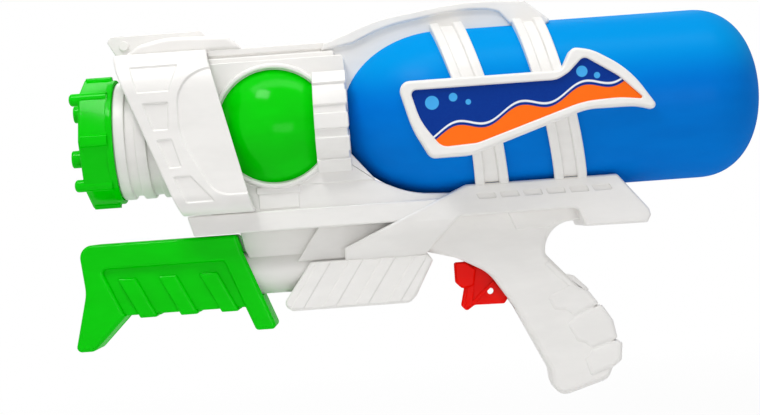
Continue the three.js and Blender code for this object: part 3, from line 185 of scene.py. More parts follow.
def enclosed(points, faces):
    """Signed volume: the sum of tetrahedra from the first point to each face's fan of triangles."""
    fans = [(face[0], face[i], face[i + 1]) for face in faces for i in range(1, len(face) - 1)]
    a, b, c = (points[[fan[k] for fan in fans]] - points[0] for k in range(3))
    return float(np.sum(a * np.cross(b, c)))


def piece(name, pile, finish, body, replaces=()):
    """Makes the pile one mesh object that rides on a body and stands for CAD nodes."""
    mesh = bpy.data.meshes.new(name)
    mesh.from_pydata(to_frame(np.concatenate(pile.points)).tolist(), [], pile.faces)
    work = bmesh.new()
    work.from_mesh(mesh)
    bmesh.ops.remove_doubles(work, verts=work.verts, dist=MERGE)
    bmesh.ops.dissolve_degenerate(work, edges=work.edges, dist=MERGE)
    work.to_mesh(mesh)
    work.free()
    mesh.shade_smooth()
    mesh.set_sharp_from_angle(angle=math.radians(SHARP))
    mesh.materials.append(finish)
    thing = bpy.data.objects.new(name, mesh)
    bpy.context.scene.collection.objects.link(thing)
    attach(thing, body)
    if replaces:
        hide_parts(*replaces)
    print(f"{name}: {len(mesh.polygons)} faces")
    return thing


# %% [markdown]
# ## Plates
# Nearly every wall of a clamshell is a plate: a side outline, pushed from the parting plane to its own
# half width, with a rounded outer edge. It could be a curve with a bevel, but stitched rings give clean
# quads and let a wall have pockets. The rings follow a quarter circle: at angle a the outline is drawn in
# by edge x (1 - cos a) and stands at depth half - edge + edge x sin a. A very thin flat ring next to the
# cap keeps the cap's shading flat.

# %% Plates with pockets
EDGE_STEPS = 5  # chords in a quarter circle of a rounded edge
QUARTER = np.linspace(0, np.pi / 2, EDGE_STEPS + 1)
FLAT_RING = 0.05  # width of the thin flat ring next to a cap
THROUGH = 99.0  # a pocket as deep as this is a hole
VIEWS = {
    "side": lambda flat, depth: np.stack([flat[:, 0], -depth, flat[:, 1]], 1),
    "front": lambda flat, depth: np.stack([-depth, flat[:, 0], flat[:, 1]], 1),
}


def stitch(rings, first=0):
    """Quads between neighbouring rings of equal length, whose points are numbered on from first."""
    size = len(rings[0])
    index = first + np.arange(len(rings) * size).reshape(len(rings), size)
    here, ahead = index[:-1], np.roll(index, -1, 1)[:-1]
    above, beyond = index[1:], np.roll(index, -1, 1)[1:]
    return np.stack([here, ahead, beyond, above], -1).reshape(-1, 4).tolist()


def swept(pile, rings):
    """A section carried along a path: quads between its rings, and a flat face at either end."""
    rows, size = rings.shape[:2]
    last = (rows - 1) * size
    faces = stitch(rings) + [list(range(size))[::-1], list(range(last, last + size))]
    return pile.add(rings.reshape(-1, 3), faces)


def within(points, ring):
    """True where a point lies inside a ring: a line from it to +x crosses the ring an odd number of times."""
    a, b = ring, np.roll(ring, -1, 0)
    p = points[:, None]
    over = (a[:, 1] > p[..., 1]) != (b[:, 1] > p[..., 1])
    rise = np.where(a[:, 1] == b[:, 1], 1e-9, b[:, 1] - a[:, 1])
    hit = over & (p[..., 0] < a[:, 0] + (b[:, 0] - a[:, 0]) * (p[..., 1] - a[:, 1]) / rise)
    return hit.sum(1) % 2 == 1


def nearest(points, spot):
    """Index of the point that lies nearest to a spot."""
    return int(np.argmin(np.sum((points - spot) ** 2, 1)))


def cap(rings, starts, creases=(), loose=0):
    """Flat face inside the first ring, with the other rings as holes, by a constrained triangulation.

    The last rings may be loose points inside the face; creases run between points that are there already.
    """
    flat = np.concatenate(rings)
    index = np.concatenate([start + np.arange(len(ring)) for ring, start in zip(rings, starts)])
    if len(rings) == 1:
        return [index.tolist()]
    edges, base = [[nearest(flat, end) for end in crease] for crease in creases], 0
    rings = rings[:len(rings) - loose]
    for ring in rings:
        own = base + np.arange(len(ring))
        edges += np.stack([own, np.roll(own, -1)], 1).tolist()
        base += len(ring)
    found = delaunay_2d_cdt([Vector(p) for p in flat.tolist()], edges, [], 1, 1e-6)
    stray = [tuple(spot) for spot, ids in zip(found[0], found[3]) if not ids]
    if stray:
        raise ValueError(f"outlines cross at {stray}")
    origin = [index[ids[0]] for ids in found[3]]
    spots = np.array([tuple(spot) for spot in found[0]])
    middle = spots[np.array([list(face) for face in found[2]])].mean(1)
    solid = ~np.any([within(middle, hole) for hole in rings[1:]] or [np.zeros(len(middle), bool)], 0)
    return [[int(origin[k]) for k in face] for face, keep in zip(found[2], solid) if keep]


def plate(pile, corners, near, far, edge, pockets=(), view="side", far_edge=0.0, soft=1.0, folds=None):
    """Plate from depth near to depth far, rounded at far, with pockets (corners, depth, rim radius).

    A soft edge is drawn in that many times further than it is high. A far edge rounds the near side as
    well. Folds are (points inside the face, creases between two points, rule for the folded depth from x,
    z and depth).
    """
    sine, cosine = np.sin(QUARTER), np.cos(QUARTER)
    path = [(0.0, near)]
    if far_edge:
        path = [(far_edge + FLAT_RING, near), *zip(far_edge * (1 - sine), near + far_edge * (1 - cosine))]
    path += list(zip(soft * edge * (1 - cosine), far - edge + edge * sine))
    path.append((soft * edge + FLAT_RING, far))
    flats = [outline(corners, inset) for inset, _ in path]
    depths = [np.full(len(flats[0]), depth) for _, depth in path]
    faces = stitch(flats)
    size = len(flats[0])
    top, tops = [flats[-1]], [(len(flats) - 1) * size]
    bottom, bottoms = [flats[0]], [0]
    at = len(flats) * size
    for mouth, deep, rim in pockets:
        through = deep >= far - near
        floor = near if through else far - deep
        lip = zip(-rim * (1 - sine), far - rim * (1 - cosine))
        down = [(-rim - FLAT_RING, far), *lip, (0.0, floor)]
        if not through:
            down.append((FLAT_RING, floor))
        walls = [outline(mouth, inset) for inset, _ in down]
        faces += [face[::-1] for face in stitch(walls, at)]
        top.append(walls[0])
        tops.append(at)
        last = at + (len(walls) - 1) * len(walls[0])
        if through:
            bottom.append(walls[-1])
            bottoms.append(last)
        else:
            faces += cap([walls[-1]], [last])
        flats += walls
        depths += [np.full(len(walls[0]), depth) for _, depth in down]
        at += sum(len(wall) for wall in walls)
    faces += [face[::-1] for face in cap(bottom, bottoms)]
    if folds:
        inner, creases, rule = folds
        flats.append(np.array(inner, float))
        depths.append(np.full(len(inner), far))
        faces += cap(top + flats[-1:], tops + [at], creases, 1)
    else:
        faces += cap(top, tops)
    flat, depth = np.concatenate(flats), np.concatenate(depths)
    if folds:
        depth = rule(flat[:, 0], flat[:, 1], depth)
    return pile.add(VIEWS[view](flat, depth), faces)


print("faces of a plain plate:", len(plate(Pile(), circle(0, 0, 10), 0, 2, edge=0.5).faces))

# %% [markdown]
# ## Turned pieces
# Tubes, domes, rims and the tank are turned: a profile of distance along an axis and radius is carried
# round in equal steps. A Screw modifier could do the same, but whole arrays keep every piece in one form.
# Points on the axis fall together and are merged into one pole when the mesh is made.

# %% Turning
TURN_STEPS = 128
AXES = {
    "x": lambda along, across, up: (along, across, up),
    "y": lambda along, across, up: (across, along, up),
}


def turned(pile, axis, profile, centre, steps=TURN_STEPS):
    """Point = centre + along x axis + radius x (cos t, sin t).

    The profile is closed in itself or ends on the axis.
    """
    profile = np.asarray(profile, float)
    if profile[0, 1] > 0:
        profile = np.concatenate([profile, profile[:1]])
    turn = np.linspace(0, 2 * np.pi, steps, endpoint=False)
    along = np.repeat(profile[:, :1], steps, 1)
    across = profile[:, 1:] * np.cos(turn)
    up = profile[:, 1:] * np.sin(turn)
    points = np.stack(AXES[axis](along, across, up), -1) + np.asarray(centre, float)
    return pile.add(points.reshape(-1, 3), stitch(points))


def turned_corners(pile, axis, corners, centre, steps=TURN_STEPS):
    """The same from a closed section of corners (along, radius, rounding), whose arcs outline() works out."""
    return turned(pile, axis, outline(corners), centre, steps=steps)


print("steps of a turned piece:", TURN_STEPS)

# %% [markdown]
# ## Finishes
# The plastics are procedural. Shader maths is easier to read as a formula, so one small class wraps a
# socket and lets Python's operators add the Math nodes. Every other node comes from one method that first
# makes the settings and then fills the sockets with values or links.

# %% Shader workbench
class Wire:
    """An output socket that can be used in a formula: each operator adds its own Math node."""

    def __init__(self, bench, socket):
        self.bench, self.socket = bench, socket

    def _math(self, operation, left, right):
        """One Math node on two values, either of which may be a plain number."""
        return self.bench.node("ShaderNodeMath", {"operation": operation}, {0: left, 1: right})

    def __add__(self, other):
        return self._math("ADD", self, other)

    def __radd__(self, other):
        return self._math("ADD", other, self)

    def __sub__(self, other):
        return self._math("SUBTRACT", self, other)

    def __rsub__(self, other):
        return self._math("SUBTRACT", other, self)

    def __mul__(self, other):
        return self._math("MULTIPLY", self, other)

    def __rmul__(self, other):
        return self._math("MULTIPLY", other, self)

    def __pow__(self, other):
        return self._math("POWER", self, other)

    def __abs__(self):
        return self._math("ABSOLUTE", self, 0.0)

    def most(self, other):
        """The greater of two values."""
        return self._math("MAXIMUM", self, other)


class Bench:
    """One material with its shader, and the way to add nodes to it."""

    def __init__(self, name):
        self.material = bpy.data.materials.new(name)
        self.material.use_nodes = True
        self.tree = self.material.node_tree
        self.shader = self.tree.nodes["Principled BSDF"]

    def node(self, kind, settings=None, sockets=None, out=0):
        """A new node: its settings first, then its sockets' values or links; gives one of its outputs."""
        made = self.tree.nodes.new(kind)
        for key, value in (settings or {}).items():
            setattr(made, key, value)
        for key, value in (sockets or {}).items():
            self.fill(made.inputs[key], value)
        return Wire(self, made.outputs[out])

    def fill(self, socket, value):
        """A wire is linked to the socket, anything else becomes its value."""
        if isinstance(value, Wire):
            self.tree.links.new(value.socket, socket)
        else:
            socket.default_value = value

    def set(self, **sockets):
        """Fills sockets of the shader by name, with underscores for blanks."""
        for key, value in sockets.items():
            self.fill(self.shader.inputs[key.replace("_", " ")], value)

    def place(self):
        """Object coordinates, in metres from the frame's origin."""
        return self.node("ShaderNodeTexCoord", out=3)

    def drawing(self, spot, axis):
        """A spot's x, y or z (axis 0 to 2) in drawing millimetres: a thousand times, plus the datum."""
        metres = self.node("ShaderNodeSeparateXYZ", None, {"Vector": spot}, out=axis)
        return metres * 1000.0 + float(DATUM[axis])

    def noise(self, scale, detail=3.0, rough=0.5, vector=None):
        """Cloudy noise from 0 to 1, scale cells to a metre."""
        return self.node("ShaderNodeTexNoise", None, {
            "Vector": vector or self.place(), "Scale": scale, "Detail": detail, "Roughness": rough})

    def ramp(self, value, low, high, low_to=0.0, high_to=1.0):
        """Smooth step: low_to up to low, high_to from high on."""
        return self.node("ShaderNodeMapRange", {"interpolation_type": "SMOOTHSTEP"}, {
            "Value": value, "From Min": low, "From Max": high, "To Min": low_to, "To Max": high_to})

    def mix(self, mask, first, second):
        """Colour first where the mask is 0, second where it is 1."""
        return self.node("ShaderNodeMix", {"data_type": "RGBA"}, {0: mask, 6: first, 7: second}, out=2)

    def bump(self, height, distance):
        """A normal that leans as a height of 0 to 1 times a distance in metres would make it."""
        return self.node("ShaderNodeBump", None, {"Height": height, "Distance": distance, "Strength": 1.0})


def paint(red, green, blue):
    """Screen colour from 0 to 255 as the linear colour that a shader takes."""
    screen = np.array([red, green, blue]) / 255.0
    linear = np.where(screen <= 0.04045, screen / 12.92, ((screen + 0.055) / 1.055) ** 2.4)
    return (*linear.tolist(), 1.0)


print("middle grey as linear light:", paint(128, 128, 128)[0])

# %% [markdown]
# ## Moulded plastic
# Injection moulded plastic isn't one flat colour. The pigment flows in faint streaks, the steel of the
# mould leaves a fine grain, and handling leaves soft scuffs that are a little rougher and paler. Painted
# pictures could show that, but noise has no seams and needs no files. All of it reads Object coordinates,
# so it stays with the piece.

# %% Moulded plastics
STREAKS, SCUFFS, SKIN, WAVES = 26.0, 90.0, 1400.0, 160.0  # noise cells to a metre
FLOW = (1.0, 2.2, 3.0)  # the streaks are drawn out along the toy


def moulded(name, colour, deep, rough, grain=0.00002, scuff=0.08, coat=None, painted_top_light=None):
    """Streaks mix two tones, scuffs lift the roughness, and two sizes of noise make the grain.

    A coloured plastic shines by a coat (weight, roughness), which keeps its edges from turning white.
    A painted top light (tone, low, high) is a painted highlight: a paler tone comes in above, between
    two heights, and stands in for the light that falls from above.
    """
    bench = Bench(name)
    spot = bench.place()
    drawn = bench.node("ShaderNodeMapping", None, {"Vector": spot, "Scale": FLOW})
    tone = bench.ramp(bench.noise(STREAKS, detail=4.0, rough=0.55, vector=drawn), 0.32, 0.68)
    marks = bench.ramp(bench.noise(SCUFFS, detail=6.0, rough=0.62, vector=drawn), 0.6, 0.74)
    skin = bench.noise(SKIN, detail=2.0, rough=0.5, vector=spot)
    pigment_and_painted_light = bench.mix(tone, deep, colour)
    # Painted highlight: above one height the colour turns to a paler tone, as if lit from above.
    if painted_top_light:
        painted_light_tone, low, high = painted_top_light
        pigment_and_painted_light = bench.mix(bench.ramp(bench.drawing(spot, 2), low, high), pigment_and_painted_light, painted_light_tone)
    pale = tuple(min(1.0, channel * 0.85 + 0.1) for channel in colour[:3]) + (1.0,)
    bench.set(
        Base_Color=bench.mix(marks * scuff, pigment_and_painted_light, pale),
        Roughness=tone * 0.05 + marks * scuff + (rough - 0.03) + skin * 0.04,
        Normal=bench.bump(skin + bench.noise(WAVES, detail=2.0, rough=0.5, vector=spot) * 1.5, grain),
        IOR=1.5, Specular_IOR_Level=0.0 if coat else 0.5, Coat_Weight=coat[0] if coat else 0.0,
        Coat_Roughness=coat[1] if coat else 0.1)
    return bench.material


SMOOTH_GRAIN, SMOOTH_SCUFF = 0.00001, 0.02  # the coloured pieces come from polished moulds
WHITE = moulded("white_moulded_plastic", paint(236, 234, 231), paint(231, 229, 226), rough=0.36)
GREEN = moulded("green_moulded_plastic", paint(0, 205, 2), paint(0, 198, 0), rough=0.3,
                grain=SMOOTH_GRAIN, scuff=SMOOTH_SCUFF, coat=(0.18, 0.12))
RED = moulded("red_moulded_plastic", paint(240, 12, 0), paint(232, 8, 0), rough=0.3,
              grain=SMOOTH_GRAIN, scuff=SMOOTH_SCUFF, coat=(0.08, 0.14))
GREY = moulded("grey_inner_plastic", paint(150, 156, 160), paint(138, 144, 148), rough=0.45)
CLEAR = moulded("hose_plastic", paint(214, 222, 224), paint(200, 210, 213), rough=0.35)
RUBBER = moulded("black_seal_rubber", paint(32, 32, 34), paint(24, 24, 26), rough=0.7, grain=0.00004)
print("plastics:", len(bpy.data.materials))

# %% [markdown]
# ## The clamshell housing
# The white housing is two mirrored halves that meet on the parting plane. Seen from the side it is a set
# of plates of different half widths: the widest is the rail under the tank with its slanted brace, the
# thinnest the flange on the hood. One could carve it from a block, but a plate for each wall keeps every
# width a number of its own. Each half is built as the left one, and the right one is its mirror image
# with holes for the screw heads.

# %% Half widths and heights
RAIL_HALF, BEAM_HALF, BODY_HALF, GRIP_HALF, GUARD_HALF = 32.0, 30.2, 28.0, 15.0, 20.0
WEB_HALF, WEB_STEP_HALF, SPINE_HALF, RIDGE_HALF, ARCH_HALF, ARCH_WEB_HALF = 9.0, 14.0, 14.0, 21.0, 21.0, 18.0
HOOD_HALF, FLANGE_HALF, BOSS_STAND = 15.0, 2.0, 1.4
RAIL_TOP, BEAM_TOP, BEAM_BOTTOM, BODY_TOP, SPINE_TOP = 10.4, 2.9, -9.7, 97.0, 107.0
TANK_Z, TANK_RADIUS = 58.0, 53.5
CREST = TANK_Z + TANK_RADIUS + 13.4
TRIGGER_SLOT = 6.6  # half width of the slot that the trigger swings in
PUMP_ROOM = 14.2  # half width of the room round the pump cylinder
OVERLAP, HIDDEN_EDGE = 0.1, 0.1  # a backing plate reaches this far into the wall before it


def backing(pile, corners, room):
    """A plate from the parting plane to the wall that stands before a room of this half width."""
    return plate(pile, corners, PARTING, room + OVERLAP, edge=HIDDEN_EDGE)


print("crest of the housing:", CREST)

# %% [markdown]
# The rail holds the tank from below, and a slanted brace runs from it down to the pump guard. The brace
# leans in towards its foot and has a bevel on its upper edge. Both could be cut off with planes. Here
# creases are laid into the plate's face and its depth is folded along them, so the rounded edge follows.

# %% Rail, beam and body
BRACE_FOLD, BRACE_SLOPE = -10.6, 0.602  # height where the brace starts to slope in, and how fast
BEVEL_FOOT, BEVEL_HEAD, BEVEL_SLOPE = (-24.0, -31.0), (59.0, RAIL_TOP), 0.24  # ends of the bevel's line
BEVEL_RISE = (BEVEL_HEAD[1] - BEVEL_FOOT[1]) / (BEVEL_HEAD[0] - BEVEL_FOOT[0])
BRACE_REAR = 46.5  # the brace folds in front of this
RAIL_SLOTS, RAIL_SLOT_PITCH, RAIL_SLOT_DEEP = 6, 14.4, 1.2
rail = [
    (54, RAIL_TOP, 3), BEVEL_HEAD, (148.5, RAIL_TOP, 3), (167, -12.5, 4), (168, -16.5, 1.6),
    (165.5, -21.2, 1.6), (127, -20.8, 1.6), (122.6, -9, 3), (49, -9, 2), (46.2, -11.77),
    (27.5, -30.3, 1), (27.5, -36, 1), (-24, -36, 1), BEVEL_FOOT, (-24, -23.8, 1), (9.55, -9.09)]
brace_corner = (BEVEL_FOOT[0] + (BRACE_FOLD - BEVEL_FOOT[1]) / BEVEL_RISE, BRACE_FOLD)
brace_creases = [
    (BEVEL_FOOT, brace_corner), (brace_corner, BEVEL_HEAD), ((10.2, BRACE_FOLD), brace_corner),
    (brace_corner, (45, BRACE_FOLD))]
rail_slot = [(60.4, 4.4, 0.6), (71.4, 4.4, 0.6), (73, 1, 0.6), (62, 1, 0.6)]
rail_slots = [shifted(rail_slot, RAIL_SLOT_PITCH * i) for i in range(RAIL_SLOTS)]
beam = [(-120.3, BEAM_TOP, 1), (46, BEAM_TOP), (46, BEAM_BOTTOM), (-116.8, BEAM_BOTTOM, 1)]
body_lower = [
    (-105.6, -0.1), (-105.6, 21), (-8, 21), (-3, 18.1, 10), (20, 7.5, 60), (50, 5.8), (50, -0.1)]
body_upper = [
    (-106, 17.7), (-106, BODY_TOP, 3), (-15.9, BODY_TOP, 3), (-15.9, 35.5), (-1.9, 18.4), (-1.9, 17.7)]
body_steps = [
    ([(-76, 13.4, 0.5), (-49, 13.4, 0.5), (-49, 17.7, 0.5), (-76, 17.7, 0.5)], 28.4),
    ([(-75, 4, 0.5), (-50, 4, 0.5), (-50, 13.6, 0.5), (-75, 13.6, 0.5)], 27.7)]


def brace_depth(x, z, depth):
    """Depth x (1 - loss / half width): the loss grows below the fold, and above the bevel's line."""
    fall = np.maximum(0, BRACE_FOLD - z) * (x < BRACE_REAR)
    above = np.maximum(0, z - BEVEL_FOOT[1] - BEVEL_RISE * (x - BEVEL_FOOT[0])) * (x < BEVEL_HEAD[0])
    return depth * (1 - (BRACE_SLOPE * fall + BEVEL_SLOPE * above) / RAIL_HALF)


print("slots in the rail:", len(rail_slots))

# %% [markdown]
# The pistol grip is two side walls with a slot between them for the trigger, closed at the back by a
# core. Padded fields for the palm stand a little proud, with soft edges. They could be sculpted, but low
# plates whose edge is drawn in further than it is high look the same and stay measurable.

# %% Grip
PALM_STAND, UPPER_PAD_SUNK = 0.8, -1.6  # how far the pads stand out; the uppermost lies lower
grip_front = [(46, -35.3, 20), (65.5, -46, 26), (80.5, -69, 24)]
grip_back = [
    (100, -110.5, 4), (100.8, -118, 4), (104, -128.2, 8), (136.5, -118.6, 8), (140.2, -110.4, 6),
    (143.4, -98, 10), (139, -83, 14), (130, -68.6, 14), (117.6, -54.2, 8), (102.3, -37, 3.4),
    (102.3, -17, 18.5), (126, -17), (126, 2), (42, 2), (27, -8)]
grip = [(27, -30), *grip_front, *grip_back]
grip_core = [(27, -30), (40, -32.4), (101.4, -32.4), (101.4, -71), (81.6, -71), *grip_back]
palm_pads = [
    [(108, -50), (116.6, -51.4, 1.2), (119.5, -51.8, 1.6), (128.4, -61.2, 1.4), (125.4, -65, 1), (117, -58)],
    [(101.5, -65, 2), (103.5, -62.6, 2), (117.5, -56.6, 2), (128, -62.4, 1.4), (133.6, -70.4, 1.4),
     (117, -77.4, 2), (113, -73.4, 2), (105, -72.6, 2)],
    [(112.4, -82, 2), (117.5, -77.8, 2), (135.2, -70.8, 1.6), (141.8, -81.5, 6), (143.8, -93, 1.6),
     (126.4, -98.6, 2), (123.4, -94.9, 2), (118, -93.4, 2)],
    [(122, -105, 2), (126.8, -99.2, 2), (143.9, -94, 1.6), (146.6, -96.2, 1.6), (145.4, -107, 2),
     (140.6, -110.6, 2), (125, -116.4, 2)]]
grip_ridge = [(100.6, -43.6, 0.8), (103.4, -40.6, 0.8), (124, -62, 0.8), (120.6, -64.6, 0.8)]
under_rail = [(79, -6), (127.6, -6), (127.6, -16.4), (110, -16.4), (106, -20, 2), (84.6, -20, 1)]
print("palm pads:", len(palm_pads))

# %% [markdown]
# Under the barrel a guard closes round the pump cylinder, with slanted bars on its face, and a thin web
# fills the space up to the beam. The guard is a side wall, a floor and an end, so that the room for the
# cylinder stays open.

# %% Pump guard and web
guard = [
    (-46.2, -31.2, 2), (28.2, -31.2, 2), (31, -35.4, 2), (19, -57, 6), (14.5, -61.2, 6), (-59.8, -61.2, 4),
    (-65, -56.6, 4)]
guard_floor = [(-60.2, -50.2), (22.8, -50.2), *guard[3:]]
guard_end = [(1.5, -31.2), (28.2, -31.2, 2), (31, -35.4, 2), (22.8, -50.2), (1.5, -50.2)]
guard_bar = [(-61.5, -60.2, 0.6), (-52.5, -60.2, 0.6), (-33, -31.6, 0.6), (-42, -31.6, 0.6)]
GUARD_BARS, GUARD_BAR_PITCH = 4, 20.4
short_bar_foot = [(7.5, -50.4, 0.6), (16.4, -50.4, 0.6)]  # where the last bar makes room for a screw
web = [(-90.4, -6), (10, -6), (-30, -30), (-83.4, -30), (-87.2, -21)]
web_step = [(-37, -5.6), (24, -5.6), (-16, -30.4), (-54.8, -30.4)]
print("bars on the guard:", GUARD_BARS)

# %% [markdown]
# On top run a flat spine with a ridge under it, an arch that reaches over the tank, and a low hood with a
# thin flange like a sight. They are plates again, because each is flat on its side and rounded at its
# edge.

# %% Spine, arch and hood
spine = [(-157, SPINE_TOP, 1), (-24, SPINE_TOP), (-24, SPINE_TOP - 4.6), (-155, SPINE_TOP - 4.6, 1)]
spine_root = [(-105, SPINE_TOP - 3), (-16.4, SPINE_TOP - 3), (-16.4, BODY_TOP - 1), (-105, BODY_TOP - 1)]
ridge = [(-105.5, 100.6, 1), (-22, 100.6, 1), (-22, BODY_TOP - 1.5), (-105.5, BODY_TOP - 1.5)]
screw_side_ridge = [ridge[0], (-26.4, 100.6, 1), (-26.4, BODY_TOP - 1.5), ridge[3]]
arch = [
    (-30, SPINE_TOP - 6), (-28, SPINE_TOP - 1.5), (6, CREST - 6.8, 90), (60, CREST + 1, 220),
    (99.5, CREST - 1.4, 5), (115.8, CREST - 15.4, 2), (112, CREST - 17.6, 2), (89.5, CREST - 15.6, 2),
    (83, CREST - 7.6, 4), (76, CREST - 5.6, 6), (58, CREST - 4.4, 120), (10, CREST - 12, 90),
    (-10, SPINE_TOP - 3)]
arch_web = [
    (-30, SPINE_TOP - 8), (-28, SPINE_TOP - 3), (6, CREST - 8.6, 90), (60, CREST - 1.4, 220),
    (98, CREST - 3, 4), (112, CREST - 15, 2), (108, TANK_Z + 30), (0, TANK_Z + 30), (-16, TANK_Z + 16),
    (-30, TANK_Z + 16)]
hood = [(-156, SPINE_TOP - 1), (-145, 113.6, 12), (-126, 117.3, 60), (-88, 115.4, 4), (-78.6, SPINE_TOP - 1)]
flange = [
    (-160, SPINE_TOP - 1), (-166.6, 117.6, 2), (-164, 121, 2), (-106.6, 121.2, 3), (-102, 116),
    (-102, SPINE_TOP - 1)]
flange_boss = circle(-155.8, 114.4, 3.2)
print("height of the arch over the tank:", CREST - TANK_Z - TANK_RADIUS)

# %% [markdown]
# Between the round window and the tank sits a ribbed collar. Bars could be laid on a plain ring one by
# one, but here a section is carried round an arc: at each angle the outer radius is the collar's own plus
# a rounded step where a bar stands proud. So the bars run into the ring without a seam.

# %% Ribbed collar and window rim
BALL_X, BALL_Z, BALL_RADIUS = -62.2, 55.5, 45.0
COLLAR_FRONT, COLLAR_REAR, COLLAR_RADIUS, COLLAR_CORE = -36.6, -15.4, 44.6, 24.0
BAR_CENTRES = np.radians(18.6 * np.arange(-2, 3))
BAR_HALF, BAR_SLOPE, BAR_STAND, BAR_OVERHANG = math.radians(5.4), math.radians(1.1), 1.6, 0.9
COLLAR_SWING, COLLAR_STEPS, COLLAR_EDGE = math.radians(43), 345, 0.9


def smooth(value, low, high):
    """0 below low, 1 above high and 3t^2 - 2t^3 between."""
    t = np.clip((value - low) / (high - low), 0, 1)
    return t * t * (3 - 2 * t)


def ribbed_collar(pile):
    """Section ring at angle t: radius = collar + bar height x step(t), ends rounded by a quarter circle."""
    angle = np.linspace(-COLLAR_SWING, COLLAR_SWING, COLLAR_STEPS)
    bars = np.max([smooth(-np.abs(angle - c), -BAR_HALF - BAR_SLOPE, -BAR_HALF) for c in BAR_CENTRES], 0)
    radius = COLLAR_RADIUS + BAR_STAND * bars
    rear = COLLAR_REAR - BAR_OVERHANG * (1 - bars)
    zero = np.zeros_like(angle)
    along = np.stack(
        [COLLAR_FRONT + zero] + [COLLAR_FRONT + COLLAR_EDGE * (1 - np.cos(a)) + zero for a in QUARTER]
        + [rear - COLLAR_EDGE * (1 - np.sin(a)) for a in QUARTER] + [rear], 1)
    away = np.stack(
        [COLLAR_CORE + zero] + [radius - COLLAR_EDGE * (1 - np.sin(a)) for a in QUARTER]
        + [radius - COLLAR_EDGE * (1 - np.cos(a)) for a in QUARTER] + [COLLAR_CORE + zero], 1)
    return swept(pile, np.stack(
        [along, -away * np.cos(angle)[:, None], BALL_Z + away * np.sin(angle)[:, None]], -1))


def window_rim(pile):
    """A rounded lip turned about the ball's axis."""
    section = [(-26, 35.3), (-31.2, 36, 1.1), (-31.4, 38.3, 1.1), (-28, 39.4, 0.6), (-26, 39.4)]
    return turned_corners(pile, "y", section, (BALL_X, 0, BALL_Z))


print("bars on the collar:", len(BAR_CENTRES))

# %% [markdown]
# Now the plates come together. The left half is whole on its outside, and the right one has round holes
# in which the screw heads are sunk. One function builds both, so the halves can't drift apart.

# %% Housing halves
housing_screws = {
    "grip_base": (116, -112, GRIP_HALF), "rail": (150, -4, RAIL_HALF),
    "guard_front": (-42, -55.5, GUARD_HALF), "guard_rear": (12, -55.5, GUARD_HALF),
    "beam": (-111, -3.4, BEAM_HALF), "arch": (-22, 101.5, ARCH_WEB_HALF)}
SCREW_HEAD, SCREW_HOLE, SCREW_SUNK, HOLE_RIM = 3.0, 3.3, 4.0, 0.3


def screw_hole(x, z):
    """A round pocket for a screw's head: its outline, its depth and the radius of its rim."""
    return circle(x, z, SCREW_HOLE), SCREW_SUNK, HOLE_RIM


def housing_half(with_screws):
    """All plates of one half as one pile; the half that takes the screw heads gets its holes."""
    def hole(name):
        """The pocket for one screw, in a list that is empty on the half without screw heads."""
        return [screw_hole(*housing_screws[name][:2])] if with_screws else []

    half = Pile()
    slots = [(slot, RAIL_SLOT_DEEP, HOLE_RIM) for slot in rail_slots]
    plate(half, rail, PARTING, RAIL_HALF, edge=1.6, pockets=slots + hole("rail"),
          folds=([brace_corner], brace_creases, brace_depth))
    plate(half, beam, PARTING, BEAM_HALF, edge=1.2, pockets=hole("beam"))
    plate(half, body_lower, PARTING, BODY_HALF - 0.9, edge=1.2)
    plate(half, body_upper, PARTING, BODY_HALF, edge=0.7)
    for step, far in body_steps:
        plate(half, step, BODY_HALF - 2, far, edge=0.4)
    plate(half, grip, TRIGGER_SLOT, GRIP_HALF, edge=3.2, pockets=hole("grip_base"))
    backing(half, grip_core, TRIGGER_SLOT)
    for index, pad in enumerate(palm_pads):
        plate(half, pad, PARTING, GRIP_HALF + (PALM_STAND if index else UPPER_PAD_SUNK), edge=1.4, soft=2.0)
    plate(half, grip_ridge, GRIP_HALF - 2, GRIP_HALF + 0.5, edge=1.0, soft=1.6)
    plate(half, under_rail, PARTING, GRIP_HALF + 1.0, edge=0.8)
    plate(half, guard, PUMP_ROOM, GUARD_HALF, edge=2, pockets=hole("guard_front") + hole("guard_rear"))
    backing(half, guard_floor, PUMP_ROOM)
    backing(half, guard_end, PUMP_ROOM)
    for i in range(GUARD_BARS):
        bar = shifted(guard_bar, GUARD_BAR_PITCH * i)
        if with_screws and i == GUARD_BARS - 1:
            bar = [*short_bar_foot, *bar[2:]]
        plate(half, bar, GUARD_HALF - 2.5, GUARD_HALF + 0.6, edge=0.6, soft=2.4)
    plate(half, web, PARTING, WEB_HALF, edge=0.5)
    plate(half, web_step, PARTING, WEB_STEP_HALF, edge=0.8)
    plate(half, spine, PARTING, SPINE_HALF, edge=1)
    plate(half, spine_root, PARTING, SPINE_HALF - 1.4, edge=0.3)
    plate(half, screw_side_ridge if with_screws else ridge, PARTING, RIDGE_HALF, edge=0.9)
    plate(half, arch, PARTING, ARCH_HALF, edge=1.5)
    plate(half, arch_web, PARTING, ARCH_WEB_HALF, edge=0.5, pockets=hole("arch"))
    plate(half, hood, PARTING, HOOD_HALF, edge=3)
    plate(half, flange, PARTING, FLANGE_HALF, edge=0.7)
    plate(half, flange_boss, PARTING, FLANGE_HALF + BOSS_STAND, edge=0.7)
    window_rim(half)
    ribbed_collar(half)
    return half


piece("housing_left", housing_half(False), WHITE, "housing", ["left_housing"])
piece("housing_right", housing_half(True).mirrored(), WHITE, "housing", ["right_housing"])

# %% [markdown]
# ## The front shroud
# Two curved panels wrap the front of the barrel. The section is a box with large round corners, and each
# panel's front and rear edges slant. The sunk fields could be cut with booleans, which would leave bad
# shading on a curved wall. So the surface is worked out on a grid of distance along the section and
# across the panel, and the fields are pressed into it: the depth follows the signed distance to each
# field's outline.

